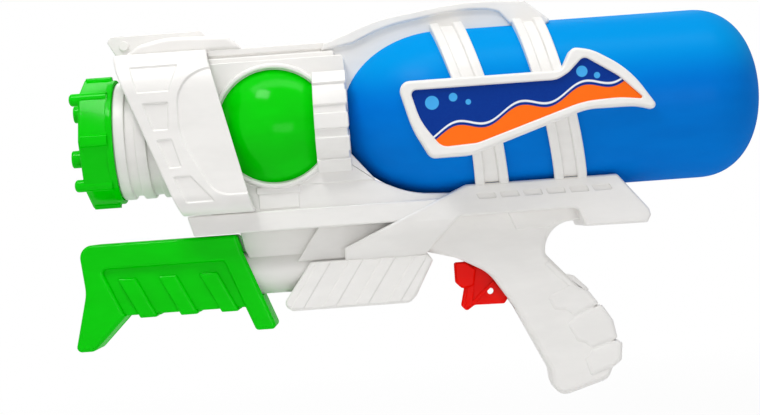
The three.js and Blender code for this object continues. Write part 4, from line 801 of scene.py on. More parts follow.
# %% Front shroud
SHROUD_HALF, SHROUD_FOOT, SHROUD_TOP, SHROUD_WALL = 46.0, 3.2, 107.0, 2.4
FOOT_BEND, CROWN_BEND = 13.0, 26.0  # radii of the section's lower and upper corner
FOOT_EDGE, CROWN_EDGE = 29.0, 14.3  # where the wall ends below and above, from the parting plane
FRONT_HEIGHTS, FRONT_EDGE = [2, 80, 86, 90, 95, 108], [-122, -151.3, -153.5, -154.85, -156.4, -160]
REAR_FOOT, REAR_LOW, REAR_RUN, REAR_RISE = -77.2, 2.0, 24.3, 106.0  # the rear edge's foot, and its slant
SHROUD_ROLL, PANEL_DEEP = 1.4, 1.2  # rounding of the slanted edges, and depth of the sunk fields
SHROUD_STEP, SHROUD_COLUMNS = 0.5, 124  # the grid's step round the section, and its columns along the toy
shroud_panels = [
    [(-148.5, 97.5, 1), (-118, 97.5, 1), (-124.3, 80.4, 1), (-144, 80.4, 1)],
    [(-141.3, 74.2, 1), (-125, 74.2, 1), (-126, 57, 1), (-135.6, 57, 1)],
    [(-134.1, 51.3, 1), (-124.5, 51.3, 1), (-119.3, 33.3, 1), (-127.4, 33.3, 1)],
    [(-125.6, 28, 1), (-114.6, 28, 1), (-100, 11, 1), (-118.4, 11, 1)],
    [(-60, 94.5), (-101, 94, 14), (-119.6, 88, 22), (-120, 52, 44), (-101.6, 17, 16), (-92, 14.4),
     (-60, 14.4)]]


def inside_distance(points, corners):
    """Distance to an outline, positive inside: nearest point of all its edges, sign by counting crossings."""
    ring = outline(corners)
    a, b = ring, np.roll(ring, -1, 0)
    span = b - a
    keep = np.sum(span**2, 1) > 1e-12
    a, b, span = a[keep], b[keep], span[keep]
    out = np.empty(len(points))
    for part in np.array_split(np.arange(len(points)), max(1, len(points) // 4000)):
        p = points[part][:, None]
        t = np.clip(np.sum((p - a) * span, -1) / np.sum(span**2, -1), 0, 1)
        near = np.linalg.norm(p - a - t[..., None] * span, axis=-1).min(1)
        out[part] = np.where(within(points[part], ring), near, -near)
    return out


def shroud_section(step):
    """Left half of the section from foot to crown, points every step millimetres, with outward normals."""
    low, high = np.linspace(-np.pi / 2, -np.pi, 40), np.linspace(np.pi, np.pi / 2, 60)
    foot = np.stack([np.cos(low), np.sin(low)], 1) * FOOT_BEND
    foot += (FOOT_BEND - SHROUD_HALF, SHROUD_FOOT + FOOT_BEND)
    crown = np.stack([np.cos(high), np.sin(high)], 1) * CROWN_BEND
    crown += (CROWN_BEND - SHROUD_HALF, SHROUD_TOP - CROWN_BEND)
    path = np.concatenate([[[-FOOT_EDGE, SHROUD_FOOT]], foot, crown, [[-CROWN_EDGE, SHROUD_TOP]]])
    length = np.concatenate([[0], np.cumsum(np.linalg.norm(np.diff(path, axis=0), axis=1))])
    at = np.linspace(0, length[-1], int(length[-1] / step))
    points = np.stack([np.interp(at, length, path[:, k]) for k in range(2)], 1)
    along = np.gradient(points, axis=0)
    along /= np.linalg.norm(along, axis=1, keepdims=True)
    return points, np.stack([-along[:, 1], along[:, 0]], 1)


def front_shroud(pile):
    """Point = section point, drawn in along its normal by the relief; x runs from front edge to rear edge."""
    section, normal = shroud_section(SHROUD_STEP)
    front = np.interp(section[:, 1], FRONT_HEIGHTS, FRONT_EDGE)
    rear = REAR_FOOT - (section[:, 1] - REAR_LOW) * REAR_RUN / REAR_RISE
    start = np.stack([SHROUD_ROLL * (1 - np.cos(QUARTER)), SHROUD_ROLL * (1 - np.sin(QUARTER))], 1)
    share = np.linspace(0, 1, SHROUD_COLUMNS)[1:-1]
    x = np.concatenate([
        front + start[:, :1], front + SHROUD_ROLL + (rear - front - 2 * SHROUD_ROLL) * share[:, None],
        rear - start[::-1, :1]])
    drop = np.concatenate([start[:, 1], np.zeros(len(share)), start[::-1, 1]])[:, None] + np.zeros_like(x)
    flat = np.stack([x, np.broadcast_to(section[:, 1], x.shape)], -1).reshape(-1, 2)
    for panel in shroud_panels:
        pressed = smooth(inside_distance(flat, panel), -0.2, 0.8).reshape(x.shape)
        drop = np.maximum(drop, PANEL_DEEP * pressed)
    wall = np.full_like(x, SHROUD_WALL)
    outer, inner = (
        np.stack([x, section[:, 0] - deep * normal[:, 0], section[:, 1] - deep * normal[:, 1]], -1)
        for deep in (drop, wall))
    rings = np.concatenate([outer, inner[:, ::-1]], 1)
    rows, size = rings.shape[:2]
    faces = stitch(rings)
    first = np.arange(size // 2 - 1)
    ends = np.stack([first, size - 1 - first, size - 2 - first, first + 1], 1)
    faces += ends.tolist() + (ends[:, ::-1] + (rows - 1) * size).tolist()
    return pile.add(rings.reshape(-1, 3), faces)


shroud = front_shroud(Pile())
piece("front_shroud_left", shroud, WHITE, "housing", ["left_front_shroud"])
piece("front_shroud_right", shroud.mirrored(), WHITE, "housing", ["right_front_shroud"])

# %% [markdown]
# ## The water tank and its straps
# The tank is blow moulded: a straight barrel with a long soft dome in front and a fuller one at the rear.
# A stretched ball would be too round at the rear, so the profile is half an ellipse in front and a
# superellipse at the rear, turned about the tank's axis. The top half is painted a paler blue than the
# bottom one: a painted highlight of the light that falls on it from above.

# %% Water tank
TANK_SHOULDER, TANK_NOSE = 45.0, 68.0  # where the front dome starts, and its length
TANK_WAIST, TANK_TAIL, TANK_FULLNESS = 204.3, 40.5, 2.25  # where the rear dome starts, its length and power
DOME_STEPS, BARREL_STEPS, TANK_STEPS = 48, 24, 192


def water_tank(pile):
    """In front x = shoulder - nose cos t; at the rear x = waist + tail sin^e t, with e = 2 / fullness.

    The radius goes with sin t in front and with cos^e t at the rear.
    """
    t = np.linspace(0, np.pi / 2, DOME_STEPS)
    front = np.stack([TANK_SHOULDER - TANK_NOSE * np.cos(t), TANK_RADIUS * np.sin(t)], 1)
    power = 2 / TANK_FULLNESS
    rear = np.stack([
        TANK_WAIST + TANK_TAIL * np.sin(t) ** power, TANK_RADIUS * np.clip(np.cos(t), 0, 1) ** power], 1)
    along = np.linspace(TANK_SHOULDER, TANK_WAIST, BARREL_STEPS)[1:-1]
    barrel = np.stack([along, np.full(len(along), TANK_RADIUS)], 1)
    front[0, 1] = rear[-1, 1] = 0
    return turned(pile, "x", np.concatenate([front, barrel, rear]), (0, 0, TANK_Z), steps=TANK_STEPS)


# The paler tone on the tank's top is a painted highlight of the light from above.
PAINTED_LIGHT_LOW, PAINTED_LIGHT_HIGH = TANK_Z + 2, TANK_Z + 34  # heights between which the lighter tone comes in
BLUE = moulded("blue_blown_plastic", paint(0, 117, 211), paint(0, 113, 207), rough=0.4, scuff=0.01,
               coat=(0.06, 0.3), painted_top_light=(paint(0, 145, 220), PAINTED_LIGHT_LOW, PAINTED_LIGHT_HIGH))
piece("tank", water_tank(Pile()), BLUE, "housing", ["water_tank"])

# %% [markdown]
# Two pairs of straps hold the tank on each side, and a label frame bridges them. A flat strap could be
# shrink-wrapped onto the tank, but its ribs would lean. So a strap is a section of two ribs and a web
# between them, carried round the tank while its edges follow two slanting lines.

# %% Straps and label frame
FRAME_BACK, FRAME_FACE, LABEL_FACE, LABEL_ROOM = 38.0, 60.5, 58.5, 0.8
RIB_WIDTH, RIB_STAND, RIB_ROUND, RIB_FOOT, WEB_STAND = 6.0, 4.2, 1.1, 0.3, 2.0
STRAP_GAP, STRAP_SUNK, STRAP_STEPS = 0.4, -1.0, 60  # room over the tank, root of the ribs, steps round it
STRAP_FOOT, STRAP_HEAD, RAIL_GAP = 70.0, 111.2, 0.3  # ends of an upper strap; the lower stops over the rail
strap_pairs = [  # front and rear rib of an upper strap and of the lower one, and the height where that starts
    ((37.6, 116, 49.6, 74), (52.4, 116, 63.6, 74), (58.4, 32, 60.4, 8), (71.6, 36, 75.6, 8), 42),
    ((89.6, 116, 98.4, 74), (102.8, 116, 111.2, 74), (104, 45, 110, 8), (117.4, 49, 124.4, 8), 52)]
label_frame = [
    (15.4, 75.2, 6), (115.4, 75.2, 5), (122.8, 88.6, 5), (135, 86.4, 30), (157, 73, 60), (174.6, 46, 2.6),
    (160, 50.4, 40), (130, 50.6, 40), (58, 27.6, 30), (33, 27.6, 6), (23, 46, 60)]
label_window = [
    (23.2, 69.4, 3), (112.6, 69.4, 12), (120, 73.4, 12), (129.6, 82.6, 4), (150.2, 69, 40), (165, 54.2, 1),
    (150, 56.2, 60), (128, 55.4, 60), (62, 34.8, 20), (40, 33.8, 8), (28.2, 50.4, 40)]


def edge_line(rib, z):
    """x of a rib's front edge at height z, along the straight line through its two ends."""
    x1, z1, x2, z2 = rib
    return x1 + (x2 - x1) * (z1 - z) / (z1 - z2)


def strap(pile, front, rear, from_z, to_z):
    """Section (across, height) carried round the tank: z = axis + (radius + height) sin t, and y likewise."""
    seat = TANK_RADIUS + STRAP_GAP
    level = seat + WEB_STAND
    turn = np.linspace(math.asin((from_z - TANK_Z) / level), math.asin((to_z - TANK_Z) / level), STRAP_STEPS)
    z = TANK_Z + level * np.sin(turn)
    start, end = edge_line(front, z), edge_line(rear, z) + RIB_WIDTH
    sine, cosine = np.sin(QUARTER), np.cos(QUARTER)
    rib_across = np.concatenate([RIB_ROUND * (1 - cosine), RIB_WIDTH - RIB_ROUND + RIB_ROUND * sine])
    rib_up = RIB_STAND - RIB_ROUND + RIB_ROUND * np.concatenate([sine, cosine])
    web_ends = [RIB_WIDTH + RIB_FOOT, -RIB_WIDTH - RIB_FOOT]
    across = np.concatenate([[0], rib_across, web_ends, rib_across - RIB_WIDTH, [0]])
    up = np.concatenate([[STRAP_SUNK], rib_up, [WEB_STAND, WEB_STAND], rib_up, [STRAP_SUNK]])
    side = np.concatenate([np.zeros(len(rib_up) + 2), np.ones(len(rib_up) + 2)])
    x = start[:, None] + side * (end - start)[:, None] + across
    away = seat + up[None, :] + 0 * x
    return swept(pile, np.stack(
        [x, -away * np.cos(turn)[:, None], TANK_Z + away * np.sin(turn)[:, None]], -1))


def tank_straps(pile):
    """Both pairs of straps of one side, and the label frame as a plate with a sunk window."""
    for upper_front, upper_rear, lower_front, lower_rear, start in strap_pairs:
        strap(pile, upper_front, upper_rear, STRAP_FOOT, STRAP_HEAD)
        strap(pile, lower_front, lower_rear, start, RAIL_TOP + RAIL_GAP)
    window = (label_window, FRAME_FACE - LABEL_FACE + LABEL_ROOM, 1.2)
    return plate(pile, label_frame, FRAME_BACK, FRAME_FACE, edge=2.2, pockets=[window])


straps = tank_straps(Pile())
piece("tank_strap_left", straps, WHITE, "housing", ["left_tank_strap"])
piece("tank_strap_right", straps.mirrored(), WHITE, "housing", ["right_tank_strap"])

# %% [markdown]
# ## Ball windows
# A green ball shows through the round window on each side. A whole ball would fill the housing, where the
# pipes run, so it is a thin dome with a flange behind the window's rim: one profile, turned about the
# ball's axis.

# %% Ball domes
BALL_RIM, BALL_WALL = 27.7, 2.0  # how far out the dome's rim lies, and its wall
ball_flange = np.array([[-25.5, 35.2], [-25.5, 38.5], [-23.5, 38.5], [-23.5, 33.2]])


def ball_dome(pile):
    """A cap of the sphere with a wall: outer arc from pole to rim, then a flange and the inner arc back."""
    t = np.linspace(np.pi / 2, math.asin(BALL_RIM / BALL_RADIUS), 64)
    arc = np.stack([-np.sin(t), np.cos(t)], 1)
    outer, inner = BALL_RADIUS * arc, (BALL_RADIUS - BALL_WALL) * arc[::-1]
    outer[0, 1] = inner[-1, 1] = 0
    return turned(pile, "y", np.concatenate([outer, ball_flange, inner]), (BALL_X, 0, BALL_Z), steps=160)


dome = ball_dome(Pile())
piece("ball_dome_left", dome, GREEN, "housing", ["left_ball_dome"])
piece("ball_dome_right", dome.mirrored(), GREEN, "housing", ["right_ball_dome"])

# %% [markdown]
# ## Muzzle
# The muzzle is a white neck with wide ribs, closed by an eight-sided green cap with four pegs to turn it
# by and three jets. The neck is one turned section. The cap could be a bevelled cylinder of eight sides,
# but plates seen from the front take the same rounded edges as the housing, and the pegs and jets are
# turned.

# %% Muzzle neck
MUZZLE_Z, NECK_RADIUS, THREAD_RADIUS = 53.7, 37.4, 36.2
GROOVE_DEEP, NECK_WALL, RIB_EDGE, GROOVE_EDGE = 2.2, 5.2, 0.8, 0.4


def muzzle_neck(pile):
    """Three wide ribs with grooves between them, then the thread's sleeve; the section is one closed ring."""
    rib, groove, bore = NECK_RADIUS, NECK_RADIUS - GROOVE_DEEP, NECK_RADIUS - NECK_WALL
    return turned_corners(pile, "x", [
        (-178, bore), (-178, THREAD_RADIUS, 0.5), (-161.7, THREAD_RADIUS), (-161.7, rib, RIB_EDGE),
        (-154.7, rib, RIB_EDGE), (-154.7, groove, GROOVE_EDGE), (-148.7, groove, GROOVE_EDGE),
        (-148.7, rib, RIB_EDGE), (-141.7, rib, RIB_EDGE), (-141.7, groove, GROOVE_EDGE),
        (-135.7, groove, GROOVE_EDGE), (-135.7, rib, RIB_EDGE), (-116, rib, 0.5), (-116, bore)],
        (0, 0, MUZZLE_Z), steps=160)


piece("muzzle_neck", muzzle_neck(Pile()), WHITE, "housing", ["muzzle_chamber"])

# %% Muzzle cap
CAP_RADIUS, CAP_BEND, CAP_EDGE, RING_EDGE = 41.4, 3.0, 1.6, 0.02
CAP_FRONT, CAP_FLOOR, CAP_BACK, CAP_REAR = 183.0, 180.5, 165.0, -162.0  # three depths, and an x
CAP_GAP = 0.4  # room between the cap's ring and the neck's thread
PEG_CIRCLE, PEG_RADIUS, PEG_TIP, PEG_ROUND, PEG_ROOT = 38.0, 3.9, -189.0, 2.4, -165.4
JET_CIRCLE, RIDGE_BACK, RIDGE_FRONT = 19.5, 165.2, 181.6
cap_flange = [(-166, 36.6), (-166, 39.6), (CAP_REAR, 39.6, 0.6), (CAP_REAR, 36.6)]
cap_ridge = [(38.4, -4.2, 0.5), (41.9, -3.0, 0.9), (41.9, 3.0, 0.9), (38.4, 4.2, 0.5)]
cap_jet = [(-182.5, 1.6), (-191, 1.6, 0.4), (-191, 5.5, 1.2), (-182.5, 5.5)]


def octagon(radius, rounding):
    """Eight corners at equal angles on a circle about the muzzle's axis."""
    turn = np.arange(8) * np.pi / 4
    return [(radius * math.cos(a), MUZZLE_Z + radius * math.sin(a), rounding) for a in turn]


def on_circle(radius, angle):
    """A spot at this angle on a circle about the muzzle's axis."""
    return 0, radius * math.cos(angle), MUZZLE_Z + radius * math.sin(angle)


def peg(pile, angle):
    """A round pin: its tip's radius goes with cos^0.8 t, its length with sin t."""
    t = np.linspace(0, np.pi / 2, 10)[::-1]
    tip = np.stack([PEG_TIP + PEG_ROUND * (1 - np.sin(t)), PEG_RADIUS * np.cos(t) ** 0.8], 1)
    profile = np.concatenate([[[PEG_TIP, 0]], tip[1:], [[PEG_ROOT, PEG_RADIUS], [PEG_ROOT, 0]]])
    return turned(pile, "x", profile, on_circle(PEG_CIRCLE, angle), steps=40)


def nozzle_cap(pile):
    """Eight-sided cup: a front disc and a ring behind it, a round flange, pegs, ridges and jets."""
    room = circle(0, MUZZLE_Z, THREAD_RADIUS + CAP_GAP)
    plate(pile, octagon(CAP_RADIUS, CAP_BEND), CAP_FLOOR, CAP_FRONT, edge=CAP_EDGE, view="front")
    plate(pile, octagon(CAP_RADIUS, CAP_BEND), CAP_BACK, CAP_FLOOR, edge=RING_EDGE,
          pockets=[(room, THROUGH, RING_EDGE)], view="front")
    turned_corners(pile, "x", cap_flange, (0, 0, MUZZLE_Z))
    for angle in np.pi / 4 + np.arange(4) * np.pi / 2:
        peg(pile, angle)
    for angle in np.arange(4) * np.pi / 2:
        ridge_turn = Matrix.Rotation(angle, 2)
        bar = [(*(ridge_turn @ Vector(c[:2]) + Vector((0, MUZZLE_Z))), c[2]) for c in cap_ridge]
        plate(pile, bar, RIDGE_BACK, RIDGE_FRONT, edge=0.5, view="front")
    for angle in np.pi / 2 + np.arange(3) * 2 * np.pi / 3:
        turned_corners(pile, "x", cap_jet, on_circle(JET_CIRCLE, angle), steps=48)
    return pile


piece("muzzle_cap", nozzle_cap(Pile()), GREEN, "cap", ["nozzle_cap"])

# %% [markdown]
# ## Pump
# The pump handle is a clamshell of its own that slides on a white cylinder. Its face is a raised frame
# round a lower panel, and three slanted bars give the hand its hold. It could be one solid block, but the
# room for the cylinder has to stay open for the handle to slide, so each half is a side wall with a top,
# a floor and a nose behind it.

# %% Pump
HANDLE_HALF, HANDLE_PANEL = 19.0, 15.8
HANDLE_BARS, HANDLE_BAR_PITCH, HANDLE_BAR_ROOT = 3, 25.7, 6.0
handle = [
    (-191.7, -10.6, 8), (-91.5, -10.6, 2.6), (-88.6, -21, 20), (-69.6, -71.4, 2.6), (-83.2, -71.4, 2.6),
    (-89, -56.5, 1.5), (-164.4, -56.5, 3), (-185.6, -77.6, 5), (-197.6, -77.6, 3.2), (-188.6, -41, 26)]
handle_frame = [
    *handle[:5], (-88.8, -57, 0.6), (-100.4, -26.6, 2.5), (-178, -26.6, 2.5), (-164.6, -56.9, 1), *handle[7:]]
handle_panel = [(-185, -16), (-95, -16), (-82, -56.5), (-175, -56.5)]
handle_top = [(-191.7, -10.6, 8), (-91.5, -10.6, 2.6), (-88.4, -21.9), (-190.5, -21.9)]
handle_floor = [(-190.8, -50.1), (-77.6, -50.1), *handle[3:9]]
handle_nose = [(-190.5, -21.9), (-177.2, -21.9), (-177.2, -50.1), (-190.8, -50.1), (-188.6, -41, 26)]
handle_bar = [(-168.6, -33, 1), (-156.6, -33, 1), (-144.2, -58.5, 1), (-155.4, -58.5, 1)]
handle_screws = {"front": (-188.5, -70, HANDLE_HALF), "rear": (-79.4, -63, HANDLE_HALF)}
PUMP_Z, PUMP_FRONT, PUMP_REAR, PUMP_RADIUS, PUMP_BORE = -36.0, -170.0, -4.0, 13.6, 11.2


def handle_half(with_screws):
    """All plates of one half of the handle as one pile, with or without the holes for the screw heads."""
    half = Pile()
    holes = [screw_hole(x, z) for x, z, _ in handle_screws.values()] if with_screws else []
    plate(half, handle_panel, PUMP_ROOM, HANDLE_PANEL, edge=1.2)
    plate(half, handle_frame, PUMP_ROOM, HANDLE_HALF, edge=2.2, pockets=holes)
    for part in (handle_top, handle_floor, handle_nose):
        backing(half, part, PUMP_ROOM)
    for i in range(HANDLE_BARS):
        bar = shifted(handle_bar, HANDLE_BAR_PITCH * i)
        plate(half, bar, HANDLE_BAR_ROOT, HANDLE_HALF - 0.4, edge=1.4, soft=1.3)
    return half


def pump_cylinder(pile):
    """A tube: one closed section from bore to outside, turned about the pump's axis."""
    section = [
        (PUMP_FRONT, PUMP_BORE), (PUMP_FRONT, PUMP_RADIUS, 0.6), (PUMP_REAR, PUMP_RADIUS),
        (PUMP_REAR, PUMP_BORE)]
    return turned_corners(pile, "x", section, (0, 0, PUMP_Z), steps=96)


piece("handle_left", handle_half(False), GREEN, "pump", ["left_pump_handle"])
piece("handle_right", handle_half(True).mirrored(), GREEN, "pump", ["right_pump_handle"])
piece("pump_tube", pump_cylinder(Pile()), WHITE, "housing", ["pump_cylinder"])

# %% [markdown]
# ## Trigger
# The red trigger hangs on a pin between the walls of the grip. It is a thin blade with a broad pad for
# the finger and ribs that stiffen it. Each is a plate through the parting plane, rounded on both sides,
# so no half needs a mirror.

# %% Trigger
BLADE_HALF, PAD_HALF, STIFFENER_HALF = 3.4, 6.0, 5.0
blade = [
    (50, -55, 2), (47.2, -66.4, 2), (50.4, -70, 2), (56, -66.4, 3), (75, -66.8, 2), (79.6, -60, 2),
    (77, -52, 2), (77, -38, 3), (67, -21, 3), (60, -18, 5), (53, -23, 4), (51, -38, 2)]
finger_pad = [
    (44.6, -38.6, 1.5), (44.6, -51.4, 2.5), (48.6, -55.4, 3), (56, -54, 1), (58, -44, 1), (52, -38.6, 1)]
trigger_eye, pin_hole = circle(66.6, -58.4, 2.1), circle(60, -24, 2.3)
stiffeners = [
    [(52.4, -50, 0.8), (56.8, -41, 0.8), (58.4, -43, 0.8), (54.2, -66.2, 0.8), (49.6, -68.4, 0.8)],
    [(68.4, -51.6, 0.7), (70.2, -52.8, 0.7), (54.4, -66.8, 0.7), (52.6, -65.4, 0.7)]]


def trigger_body(pile):
    """The blade with its two holes, the finger's pad and the ribs, each from one side to the other."""
    holes = [(trigger_eye, THROUGH, 0.3), (pin_hole, THROUGH, 0.2)]
    plate(pile, blade, -BLADE_HALF, BLADE_HALF, edge=0.8, pockets=holes, far_edge=0.8)
    plate(pile, finger_pad, -PAD_HALF, PAD_HALF, edge=1.2, far_edge=1.2)
    for rib in stiffeners:
        plate(pile, rib, -STIFFENER_HALF, STIFFENER_HALF, edge=0.5, far_edge=0.5)
    return pile


piece("trigger_red", trigger_body(Pile()), RED, "trigger", ["trigger"])

# %% [markdown]
# ## Screws
# The halves are held by small cross-head screws that run in from the right. A thread could be wound round
# each, but only the heads show, sunk in round holes. So a head is a short disc with a cross pressed into
# it, and the shank stays plain. The zinc plating is bright and a little cloudy.

# %% Plated steel
PLATING, TURNING = 300.0, 2400.0  # noise cells to a metre, of the plating's clouds and the turning marks


def steel_finish():
    """Cloudy noise mixes two greys and moves the roughness, and fine noise makes the turning marks."""
    bench = Bench("zinc_plated_steel")
    cloud = bench.noise(PLATING, detail=4.0)
    bench.set(
        Base_Color=bench.mix(cloud, paint(176, 178, 182), paint(206, 208, 210)), Metallic=1.0,
        Roughness=cloud * 0.2 + 0.24, Normal=bench.bump(bench.noise(TURNING, detail=2.0), 0.00001))
    return bench.material


STEEL = steel_finish()
print("metal:", STEEL.name)

# %% Screws
HEAD_HIGH, HEAD_EDGE, SHANK_RADIUS, SHANK_END = 2.0, 0.7, 1.4, -8.0
CROSS_ARM, CROSS_HALF, CROSS_DEEP = 1.7, 0.42, 1.1


def cross(x, z, arm, half):
    """Twelve corners of a cross-head recess: three of one arm, turned by quarter turns."""
    quarter = [(arm, half), (half, half), (half, arm)]
    turns = [(1, 0), (0, 1), (-1, 0), (0, -1)]
    spots = [(a * c - b * s, a * s + b * c) for c, s in turns for a, b in quarter]
    return [(x + a, z + b, 0.1) for a, b in spots]


def screw(pile, x, z, half):
    """Head from its seat to its face, then the shank into the other half; built on the left and mirrored."""
    seat = half - SCREW_SUNK
    recess = (cross(x, z, CROSS_ARM, CROSS_HALF), CROSS_DEEP, 0.08)
    plate(pile, circle(x, z, SCREW_HEAD), seat, seat + HEAD_HIGH, edge=HEAD_EDGE, pockets=[recess])
    plate(pile, circle(x, z, SHANK_RADIUS), SHANK_END, seat + 0.5, edge=HIDDEN_EDGE)
    return pile.mirrored()


screw_sets = {"housing_screw": (housing_screws, "housing"), "handle_screw": (handle_screws, "pump")}
for kind, (spots, carrier) in screw_sets.items():
    for name, spot in spots.items():
        piece(f"{kind}_{name}_head", screw(Pile(), *spot), STEEL, carrier, [f"{kind}_{name}"])

# %% [markdown]
# ## Labels
# A printed label lies in the frame on each side. The print is a plain pattern of the maker's own: an
# orange wave on navy, with round drops above it. A picture could be laid on it, but this one is worked
# out from the place on the label, so it stays sharp at any distance and reads no file.

# %% Labels
LABEL_THICK = 0.5
INK, PAPER = 600.0, 120.0  # noise cells to a metre, of the ink's clouds and the paper's waves
WAVE_LEAN, WAVE_FOOT, WAVE_NUMBER, WAVE_HEIGHT = 0.24, 31.0, 0.16, 3.2  # slope, foot, pitch and swell
CREST_GAP, CREST_CORE, CREST_RIM = 2.4, 0.45, 0.85  # the pale line over the wave, and its half widths
PRINT_EDGE, DROP_EDGE = 0.25, 0.2  # how sharp the print is
label_drops = [  # x, z and radius
    (36, 61, 4.2), (49, 63.5, 2.6), (58, 60, 1.7), (128, 73.5, 3.4), (137, 70.5, 1.9)]


def label_finish():
    """Wave = orange where z is below a sine line; drops = discs where the distance to a spot is small."""
    bench = Bench("printed_label")
    x, z = (bench.drawing(bench.place(), axis) for axis in (0, 2))
    swell = bench.node("ShaderNodeMath", {"operation": "SINE"}, {0: x * WAVE_NUMBER})
    line = x * WAVE_LEAN + WAVE_FOOT + swell * WAVE_HEIGHT
    wave = bench.ramp(z - line, -PRINT_EDGE, PRINT_EDGE, 1.0, 0.0)
    crest = bench.ramp(abs(z - line - CREST_GAP), CREST_CORE, CREST_RIM, 1.0, 0.0)
    drops = None
    for spot_x, spot_z, radius in label_drops:
        away = ((x - spot_x) ** 2.0 + (z - spot_z) ** 2.0) ** 0.5
        disc = bench.ramp(away, radius - DROP_EDGE, radius + DROP_EDGE, 1.0, 0.0)
        drops = disc if drops is None else drops.most(disc)
    ink = bench.noise(INK, detail=2.0)
    ground = bench.mix(ink, paint(2, 48, 138), paint(6, 56, 148))
    art = bench.mix(wave, ground, paint(255, 112, 22))
    art = bench.mix(crest, art, paint(236, 240, 244))
    art = bench.mix(drops, art, paint(70, 170, 236))
    bench.set(Base_Color=art, Roughness=ink * 0.08 + 0.34, Specular_IOR_Level=0.05,
              Normal=bench.bump(bench.noise(PAPER, detail=3.0), 0.00003))
    return bench.material


LABEL = label_finish()
label_plate = plate(Pile(), label_window, LABEL_FACE - LABEL_THICK, LABEL_FACE, edge=0.12)
piece("label_left", label_plate, LABEL, "housing", ["left_label"])
piece("label_right", label_plate.mirrored(), LABEL, "housing", ["right_label"])

# %% [markdown]
# ## Inner pieces
# Hoses, valve, piston and seals are seen only when the toy is taken apart. They could be built again like
# the outside, but nothing would show it. So their solids stay as they are and take the same kinds of
# finish.

# %% Inner pieces
inner_finish = {
    GREY: ["nozzle_manifold", "delivery_pipe", "filler_duct", "pump_gland", "pump_plug", "piston",
           "valve_body", "valve_plunger"],
    CLEAR: ["air_hose", "supply_hose", "delivery_hose"],
    RUBBER: ["cap_seal", "piston_ring"],
    STEEL: ["piston_rod", "trigger_pin"]}
for finish, names in inner_finish.items():
    for name in names:
        nodes[name].data.materials.clear()
        nodes[name].data.materials.append(finish)
    print(finish.name, "on", len(names), "inner pieces")

# %% [markdown]
# The valve's spring is wound afresh. In the toy it shortens when the trigger presses the plunger against
# it. It could be a curve with a bevel, but worked out as points it fills the solid's own box. A point of
# the wire's ring lies at the coil's middle line, plus the wire's radius along the spoke and along the
# axis.

# %% Valve spring
SPRING_WIRE, SPRING_TURNS, VALVE_TRAVEL = 0.45, 5, 4.28
COIL_STEPS, WIRE_STEPS = 24, 12  # rings to a turn, and points to a ring
spring_low, spring_high = (np.array(corner) * 1000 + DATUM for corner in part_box("valve_spring"))


def coil(pile, low, high, wire, turns):
    """A helix along x that fills a box, swept by a round wire, with flat ends."""
    turn = np.linspace(0, turns * 2 * np.pi, turns * COIL_STEPS + 1)
    spoke = np.stack([np.zeros_like(turn), np.cos(turn), np.sin(turn)], 1)
    along = np.linspace(low[0] + wire, high[0] - wire, len(turn))
    middle = (low + high) / 2 * (0, 1, 1) + along[:, None] * (1, 0, 0) + spoke * ((high - low)[1] / 2 - wire)
    phi = np.linspace(0, 2 * np.pi, WIRE_STEPS, endpoint=False)
    axis = np.array([1.0, 0.0, 0.0])
    ring = np.cos(phi)[None, :, None] * spoke[:, None] + np.sin(phi)[None, :, None] * axis
    return swept(pile, middle[:, None] + wire * ring)


spring = piece(
    "valve_coil", coil(Pile(), spring_low, spring_high, SPRING_WIRE, SPRING_TURNS), STEEL, "housing",
    ["valve_spring"])
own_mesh(spring)

# %% [markdown]
# ## Studio
# The picture is taken square from the left side, with the camera a little rolled, against white. A floor
# that only reflects would turn out grey. So the floor is white to the camera and plain to the light, and
# it lies well below the toy, which seems to float.

# %% Floor
FLOOR_DROP, FLOOR_SPAN = 0.09, 6.0
FLOOR_Z = CAD_BOX[0][2] - FLOOR_DROP
NEAR, FAR, NEAR_GLOW = 0.2, 1.3, 0.8  # metres between which the floor turns white, and its glow before


def seen_directly(bench):
    """One where a ray comes from the camera, a mirror or a clear body, else nought."""
    light_path = bench.node("ShaderNodeLightPath").socket.node
    kinds = ("Is Camera Ray", "Is Glossy Ray", "Is Transmission Ray")
    camera_ray, glossy_ray, clear_ray = (Wire(bench, light_path.outputs[kind]) for kind in kinds)
    return camera_ray.most(glossy_ray).most(clear_ray)


def white_ground():
    """A glow is mixed in where it is seen directly: all of it far away, a share of it near the toy."""
    bench = Bench("pale_floor")
    bench.set(Base_Color=(0.9, 0.9, 0.9, 1.0), Roughness=0.9)
    reach = bench.node("ShaderNodeVectorMath", {"operation": "LENGTH"}, {0: bench.place()}, out=1)
    far = bench.ramp(reach, NEAR, FAR, NEAR_GLOW, 1.0)
    glow = bench.node("ShaderNodeEmission", None, {"Color": (1.0, 1.0, 1.0, 1.0), "Strength": 1.0})
    shown = bench.node("ShaderNodeMixShader", None, {0: seen_directly(bench) * far, 2: glow})
    bench.tree.links.new(bench.shader.outputs[0], shown.socket.node.inputs[1])
    bench.tree.links.new(shown.socket, bench.tree.nodes["Material Output"].inputs["Surface"])
    return bench.material


floor_mesh = bpy.data.meshes.new("floor")
floor_corners = np.array([(-1, -1), (1, -1), (1, 1), (-1, 1)]) * FLOOR_SPAN
floor_mesh.from_pydata([(x, y, FLOOR_Z) for x, y in floor_corners.tolist()], [], [(0, 1, 2, 3)])
floor_mesh.materials.append(white_ground())
floor = bpy.data.objects.new("floor", floor_mesh)
bpy.context.scene.collection.objects.link(floor)
print("floor at", FLOOR_Z)

# %% [markdown]
# ## Backdrop
# Behind the toy there is nothing but white. A lit wall could be put there, but the world itself can be
# white to the camera and dimmer to the object, so the plastics keep their colour.

# %% World
WORLD_LIGHT = 0.44  # what the backdrop gives the object; it is seen at a strength of 1


class Sky(Bench):
    """The world's nodes, with the same ways to add to them as a material has."""

    def __init__(self, name):
        world = bpy.data.worlds.new(name)
        world.use_nodes = True
        bpy.context.scene.world = world
        self.tree, self.shader = world.node_tree, world.node_tree.nodes["Background"]


